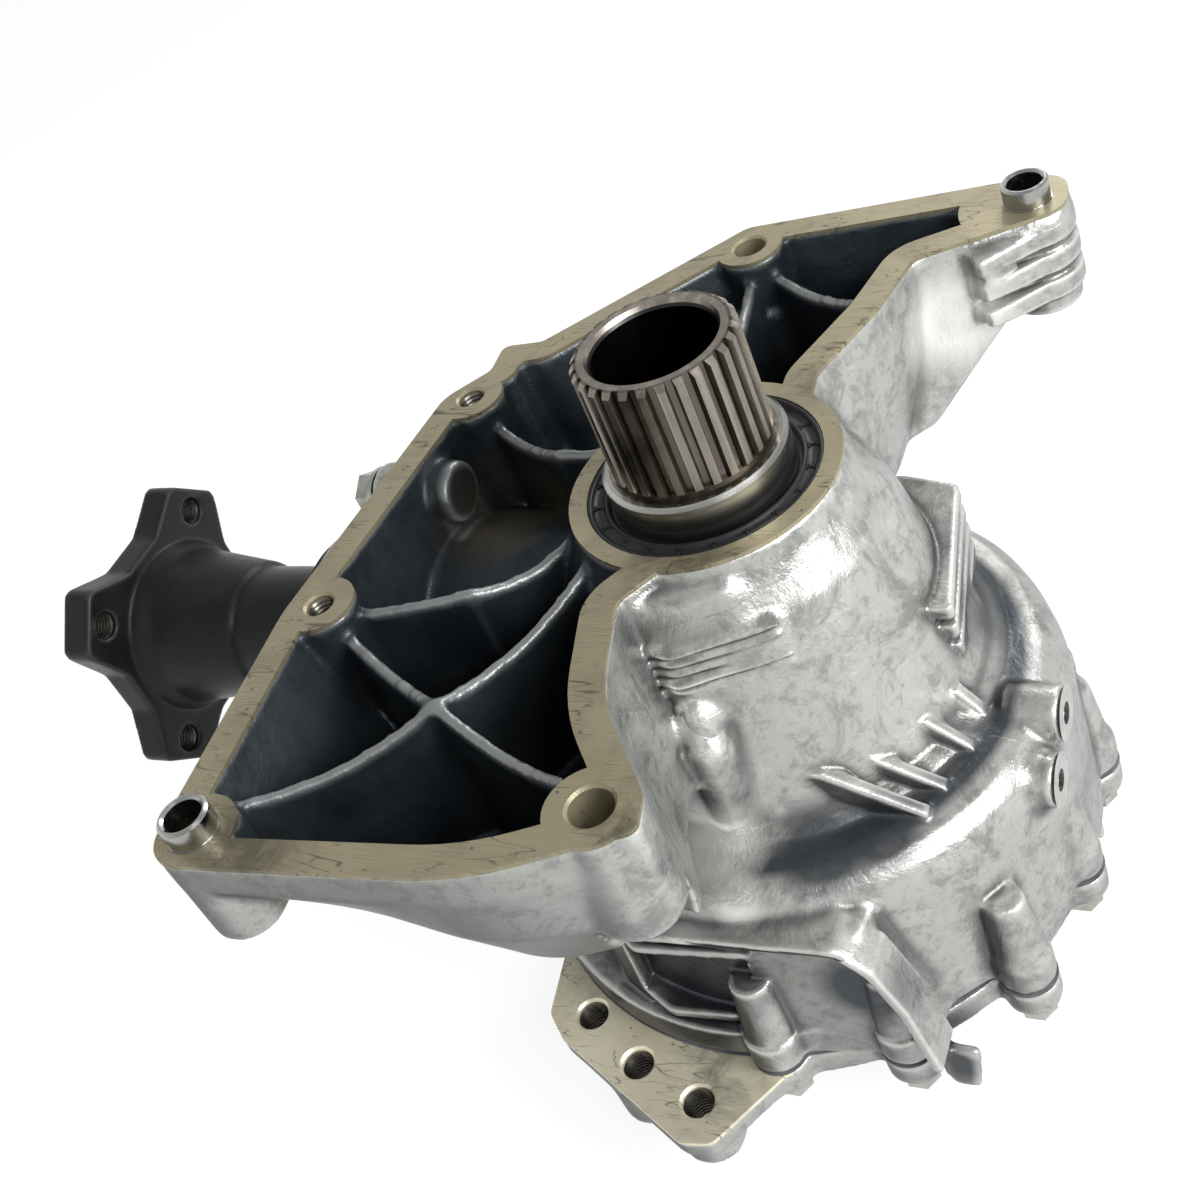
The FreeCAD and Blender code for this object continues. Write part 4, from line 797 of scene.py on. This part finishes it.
def rounded_skin(obj, rounds, share=1.0):
    """Round a voxel skin; gives back its points in millimetres, its edges and its neighbour counts."""
    place, pairs = plain_mesh(obj)
    place = place / MM
    count = np.bincount(pairs.ravel(), minlength=len(place)).astype(float)
    count[count == 0] = 1
    if callable(share):
        share = share(place)
    place = smoothed(place, pairs, count, rounds, share)
    for low, high, extra in SOFT_PLACES:
        softer = np.clip(box_depth(place, low, high) / SOFT_BORDER, 0, 1)[:, None]
        if softer.any():
            place = smoothed_part(place, pairs, count, round(extra * rounds / PLAIN_ROUNDS), softer)
    obj.data.vertices.foreach_set("co", (place * MM).ravel())
    obj.data.update()
    return place, pairs, count


def box_depth(place, low, high):
    """Distance from the nearest side of a box, for points inside it."""
    return np.minimum(place - np.array(low), np.array(high) - place).min(1)


def fine_skin(name, low, high, rounding, tree):
    """Finer skin of the housing inside a box, which dips under the plain skin along its border."""
    piece = voxel_mesh(name, "main_housing", FINE_VOXEL, (low, high))
    place, pairs = plain_mesh(piece)
    gone = box_depth(place / MM, low, high) < 0.6 * FINE_VOXEL
    gone |= hidden_parts(place / MM, vertex_normals(piece.data), pairs[~(gone[pairs].any(1))], tree)
    drop_points(piece, gone)

    def share(points):
        core = np.clip((box_depth(points, low, high) - BELT_START) / BELT, 0, 1)
        return (1.0 - (1.0 - rounding) * core)[:, None]

    rounds = round(PLAIN_ROUNDS * (PLAIN_VOXEL / FINE_VOXEL) ** 2)
    place, pairs, count = rounded_skin(piece, rounds, share)
    skin_layers(piece.data, place, pairs, count, FINE_VOXEL, np.zeros((len(place), 1)))
    dip = BELT_DIP * (1.0 - np.clip(box_depth(place, low, high) / BELT_EDGE, 0, 1))
    place = place - vertex_normals(piece.data) * dip[:, None]
    piece.data.vertices.foreach_set("co", (place * MM).ravel())
    piece.data.update()
    piece.data.polygons.foreach_set("use_smooth", [True] * len(piece.data.polygons))
    return piece


def make_room(obj, pieces):
    """Sink the plain skin where a fine one lies over it, and open it where it is wholly covered."""
    place, _ = plain_mesh(obj)
    place = place / MM
    normals = vertex_normals(obj.data)
    covered = np.zeros(len(place), dtype=bool)
    for piece, low, high in pieces:
        points = [v.co for v in piece.data.vertices]
        tree = KDTree(len(points))
        for i, point in enumerate(points):
            tree.insert(point, i)
        tree.balance()
        depth = box_depth(place, low, high)
        for i in np.flatnonzero(depth > BELT_START):
            if tree.find(Vector(place[i]) * MM)[2] < COVER_GAP * MM:
                sunk = min(1.0, (depth[i] - BELT_START) / BELT)
                covered[i] = sunk >= 1.0
                place[i] -= normals[i] * BELT_SINK * sunk * sunk
    obj.data.vertices.foreach_set("co", (place * MM).ravel())
    drop_points(obj, covered)


def cast_copy(name, node, voxel, rounds, trim=None, pocket=None):
    """Copy of a CAD casting with its edges and corners rounded as a mould leaves them."""
    casting = voxel_mesh(name, node, voxel)
    mesh = casting.data
    place, pairs, count = rounded_skin(casting, rounds)
    inner = np.zeros((len(place), 1))
    if pocket:
        inner[:, 0] = pocket(place, vertex_normals(mesh))
        inner = smoothed(inner, pairs, count, 3, 1.0)
    skin_layers(mesh, place, pairs, count, voxel, inner)
    if trim:
        mesh.vertices.foreach_set("co", (trim(place, vertex_normals(mesh)) * MM).ravel())
        mesh.update()
    mesh.polygons.foreach_set("use_smooth", [True] * len(mesh.polygons))
    return casting


def sink_face(place, normals, holes, top):
    """Sink the skin under a milled face, its rim and its hole walls."""
    near_top = place[:, 2] > top - SKIRT - RIM_REACH
    place[near_top, :2] -= normals[near_top, :2] * SINK
    place[:, 2] = np.where(place[:, 2] > top - FACE_REACH, place[:, 2] - SINK, place[:, 2])
    return open_holes(place, holes, top)


def housing_trim(place, normals):
    place = sink_face(place, normals, FACE_HOLES, 0.0)
    for y, z in SIDE_BOSSES:
        away = np.hypot(place[:, 1] - y, place[:, 2] - z)
        on_end = (place[:, 0] > SIDE_BOSS_X - BOSS_SKIN) & (away < BOSS_SKIN_R)
        place[on_end, 0] -= SINK
    return open_holes(place, [SEAL_BORE], 0.0)


def cover_trim(place, normals):
    return sink_face(place, normals, PAD_HOLES, PAD_Z)


def housing_pocket(place, normals):
    """Points of the open face pocket: inside the outline, with nothing of the casting above them."""
    x, y, z = place.T
    ahead = place + normals * OUTLINE_GAP
    within = inside_outline(x, y, FACE) & inside_outline(ahead[:, 0], ahead[:, 1], FACE)
    within &= (z < POCKET_TOP) & (z > POCKET_BOTTOM) & (normals[:, 2] > -0.25)
    within &= ~((np.hypot(x, y) < SEAT_R) & (x > 0))
    tree = node_tree("main_housing")
    starts = (place + normals * SKY_GAP) * MM
    for i in np.flatnonzero(within):
        within[i] = tree.ray_cast(Vector(starts[i]), Vector((0, 0, 1)))[0] is None
    return within


def picked_faces(name, node, wanted, rim_z, skirt_test):
    """Faces of a CAD node that a tool has cut, with a short skirt below the rim of the milled plane."""
    mesh = NODES[node].data.copy()
    work = bmesh.new()
    work.from_mesh(mesh)
    unwanted = [f for f in work.faces if not wanted(f.calc_center_median() / MM, f.normal)]
    bmesh.ops.delete(work, geom=unwanted, context="FACES")
    bmesh.ops.remove_doubles(work, verts=work.verts, dist=0.001 * MM)
    rim = []
    for edge in work.edges:
        a, b = (v.co / MM for v in edge.verts)
        level = abs(a.z - rim_z) < 0.01 and abs(b.z - rim_z) < 0.01
        if level and len(edge.link_faces) == 1 and skirt_test((a + b) / 2):
            rim.append(edge)
    grown = bmesh.ops.extrude_edge_only(work, edges=rim)["geom"]
    for item in grown:
        if isinstance(item, bmesh.types.BMVert):
            item.co.z -= SKIRT * MM
    bmesh.ops.recalc_face_normals(work, faces=work.faces)
    work.to_mesh(mesh)
    work.free()
    for polygon in mesh.polygons:
        polygon.use_smooth = False
    mesh.materials.clear()
    return link(bpy.data.objects.new(name, mesh))


def in_hole(centre, normal, holes, top):
    """Whether a face is on the wall, the mouth or the floor of one of the upright holes."""
    for x, y, radius, depth in holes:
        away = Vector((centre.x - x, centre.y - y))
        inward = normal.xy.dot(away) < -0.3 * away.length or (away.length < radius - 0.5 and normal.z > 0.5)
        if away.length < radius + MOUTH and inward and centre.z > top - depth:
            return True
    return False


def on_top(centre, normal, top):
    return abs(centre.z - top) < 0.01 and normal.z > 0.99


def housing_cut(centre, normal):
    _, _, radius, depth = SEAL_BORE
    in_seat = centre.xy.length < radius + 0.2 and centre.z > -depth
    return on_top(centre, normal, 0.0) or in_hole(centre, normal, FACE_HOLES, 0.0) or in_seat


def boss_cut(centre, normal):
    if centre.x <= SIDE_BOSS_X - SIDE_BOSS_DEPTH:
        return False
    away = min(math.hypot(centre.y - y, centre.z - z) for y, z in SIDE_BOSSES)
    return away < SIDE_HOLE_R or (away < SIDE_BOSS_R and abs(normal.x) > 0.9)


def cover_cut(centre, normal):
    return on_top(centre, normal, PAD_Z) or in_hole(centre, normal, PAD_HOLES, PAD_Z)


def thread(name, body, base, axis, radius, length):
    """Inside thread: a saw-toothed helical wall that goes down from a hole's mouth."""
    pitch, depth, sides = THREAD_PITCH, THREAD_DEPTH, THREAD_SIDES
    turns = int(length / pitch)
    base, axis = Vector(base), Vector(axis).normalized()
    side = axis.orthogonal().normalized()
    other = axis.cross(side)
    points, faces = [], []
    steps = turns * sides
    for i in range(steps + 1):
        angle = math.tau * i / sides
        along = pitch * i / sides
        out = side * math.cos(angle) + other * math.sin(angle)
        tooth = ((0.0, radius), (0.18, radius), (0.5, radius - depth), (0.68, radius - depth))
        for share, reach in tooth:
            points.append((base - axis * (along + share * pitch) + out * reach) * MM)
    for i in range(steps):
        for k in range(3):
            a = 4 * i + k
            faces.append((a, a + 4, a + 5, a + 1))
        if i < steps - sides:
            faces.append((4 * i + 3, 4 * i + 7, 4 * (i + sides) + 4, 4 * (i + sides)))
    mesh = bpy.data.meshes.new(name)
    mesh.from_pydata([tuple(p) for p in points], [], faces)
    mesh.polygons.foreach_set("use_smooth", [True] * len(mesh.polygons))
    dress(link(bpy.data.objects.new(name, mesh)), SHADED_HOLE_STEEL, body)


def turned_piece(name, profile, sides):
    """Body of revolution about Z from (radius, z) points, closed."""
    count = len(profile)
    points = []
    for i in range(sides):
        angle = math.tau * i / sides
        points += [(r * math.cos(angle) * MM, r * math.sin(angle) * MM, z * MM) for r, z in profile]
    faces = []
    for i in range(sides):
        for k in range(count):
            a, b = i * count + k, i * count + (k + 1) % count
            c, d = ((i + 1) % sides) * count + (k + 1) % count, ((i + 1) % sides) * count + k
            faces.append((a, d, c, b))
    mesh = bpy.data.meshes.new(name)
    mesh.from_pydata(points, [], faces)
    return link(bpy.data.objects.new(name, mesh))


def seal_marks(work):
    """Small I-shaped bosses spaced round the seal's web."""
    for i in range(SEAL_MARKS):
        turn = Matrix.Rotation(math.tau * (i + FIRST_MARK) / SEAL_MARKS, 4, "Z")
        for reach, length, width in MARK_STROKES:
            middle = Matrix.Translation(Vector((reach, 0, SEAL_WEB_Z)) * MM)
            size = Matrix.Diagonal((length * MM, width * MM, MARK_HEIGHT * MM, 1))
            bmesh.ops.create_cube(work, size=1.0, matrix=turn @ middle @ size)


def input_seal():
    """Rubber-covered shaft seal: outer bead, web with small bosses, ridge and dust lip."""
    seal = turned_piece("input_seal_detail", SEAL_SECTION, SEAL_SIDES)
    work = bmesh.new()
    work.from_mesh(seal.data)
    for face in work.faces:
        face.smooth = True
    seal_marks(work)
    work.to_mesh(seal.data)
    work.free()
    return seal


def dress(obj, material, body, node=None):
    """Give a piece its material and its body, and hide the CAD node given with it."""
    obj.data.materials.append(material)
    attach(obj, body)
    if node:
        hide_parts(node)


def add_housing():
    """Cast skin of the housing with its finer places, its milled face and its turned bosses."""
    casting = cast_copy("housing_casting", "main_housing", PLAIN_VOXEL, PLAIN_ROUNDS,
                        housing_trim, housing_pocket)
    tree = node_tree("main_housing")
    fine = []
    for name, low, high, rounding in FINE_PLACES:
        fine.append((fine_skin(name, low, high, rounding, tree), low, high))
    make_room(casting, fine)
    dress(casting, ALUMINIUM, "housing", "main_housing")
    for piece, _, _ in fine:
        dress(piece, ALUMINIUM, "housing")
    face = picked_faces("milled_face", "main_housing", housing_cut, 0.0, lambda p: True)
    dress(face, MILLED, "housing")
    bosses = picked_faces("turned_bosses", "main_housing", boss_cut, 0.0, lambda p: False)
    dress(bosses, TURNED, "housing")


def add_cover():
    """Cast skin of the end cover, and its milled pad, whose rim ends where the cover's bowl rises."""
    cover = cast_copy("cover_casting", "end_cover", COVER_VOXEL, COVER_ROUNDS, cover_trim)
    dress(cover, COVER, "housing", "end_cover")
    pad = picked_faces("milled_pad", "end_cover", cover_cut, PAD_Z, lambda p: p.x < PAD_END_X)
    dress(pad, PAD, "housing")


def upright_threads(label, holes, top, length):
    for number, (x, y, radius, _) in enumerate(holes, 1):
        base = (x, y, top - THREAD_START)
        thread(f"{label}_{number}", "housing", base, (0, 0, 1), radius + THREAD_GAP, length)


def flange_threads():
    for number in range(FLANGE_HOLES):
        angle = math.radians(FLANGE_TURN + 360 / FLANGE_HOLES * number)
        y, z = -FLANGE_CIRCLE_R * math.sin(angle), PINION_Z + FLANGE_CIRCLE_R * math.cos(angle)
        thread(f"flange_thread_{number + 1}", "output", (FLANGE_BACK_X, y, z), (1, 0, 0),
               FLANGE_THREAD_R, FLANGE_THREAD)


ALUMINIUM = cast_metal("cast_aluminium", ALUMINIUM_TONE, PAINTED_SHADE_SPOTS, CHANNEL, PAINTED_WARM_HIGHLIGHTS, PAINTED_HIGHLIGHT_SPOTS)
COVER = cast_metal("cover_aluminium", ALUMINIUM_TONE, PAINTED_SHADE_SPOTS)
MILLED = milled_metal("milled_face", MILLED_TONE, FACE_OIL)
PAD = milled_metal("milled_pad", LIT_PAD_TONE, PAD_OIL, PAD_Z)
TURNED = steel("turned_boss", (0.40, 0.40, 0.385), 0.30, 0.5, 200.0)
# Thread steel, painted dark: painted shade inside the holes
SHADED_HOLE_STEEL = steel("threaded_hole", (0.15, 0.142, 0.13), 0.30, 0.6, 300.0)
DARK_STEEL = shaft_metal("dark_shaft_steel")
GROUND = steel("ground_steel", (0.36, 0.35, 0.345), 0.26, 0.35)
BRIGHT = steel("bright_steel", (0.36, 0.365, 0.355), 0.20)
ZINC = steel("zinc_steel", (0.40, 0.395, 0.36), 0.34, 0.6, 150.0)
BLACK = black_paint("black_satin")
RUBBER = rubber("seal_rubber")
GASKET = rubber("gasket_edge", 10.0)
LOOKS = {
    "shaft_steel": DARK_STEEL, "gear_steel": GROUND, "bright_steel": BRIGHT, "zinc_steel": ZINC,
    "black_flange": BLACK, "seal_rubber": RUBBER, "gasket_grey": GASKET, "washer_metal": BRIGHT,
}

add_camera()
add_world()
add_floor()
for lamp in LAMPS:
    add_lamp(*lamp)
add_housing()
add_cover()
flange = cast_copy("flange_forging", "output_flange", FLANGE_VOXEL, FLANGE_ROUNDS)
dress(flange, BLACK, "output", "output_flange")
dress(input_seal(), RUBBER, "housing", "input_shaft_seal")
upright_threads("face_thread", TAPPED_HOLES, 0.0, FACE_THREAD)
upright_threads("pad_thread", PAD_HOLES, PAD_Z, PAD_THREAD)
flange_threads()
slots = {part["node"]: part["material_slot"] for part in frame["record"]["subparts"]}
for node, obj in NODES.items():
    look = LOOKS.get(slots.get(node))
    if look:
        obj.data.materials.clear()
        obj.data.materials.append(look)

bpy.context.scene.view_settings.view_transform = "Standard"
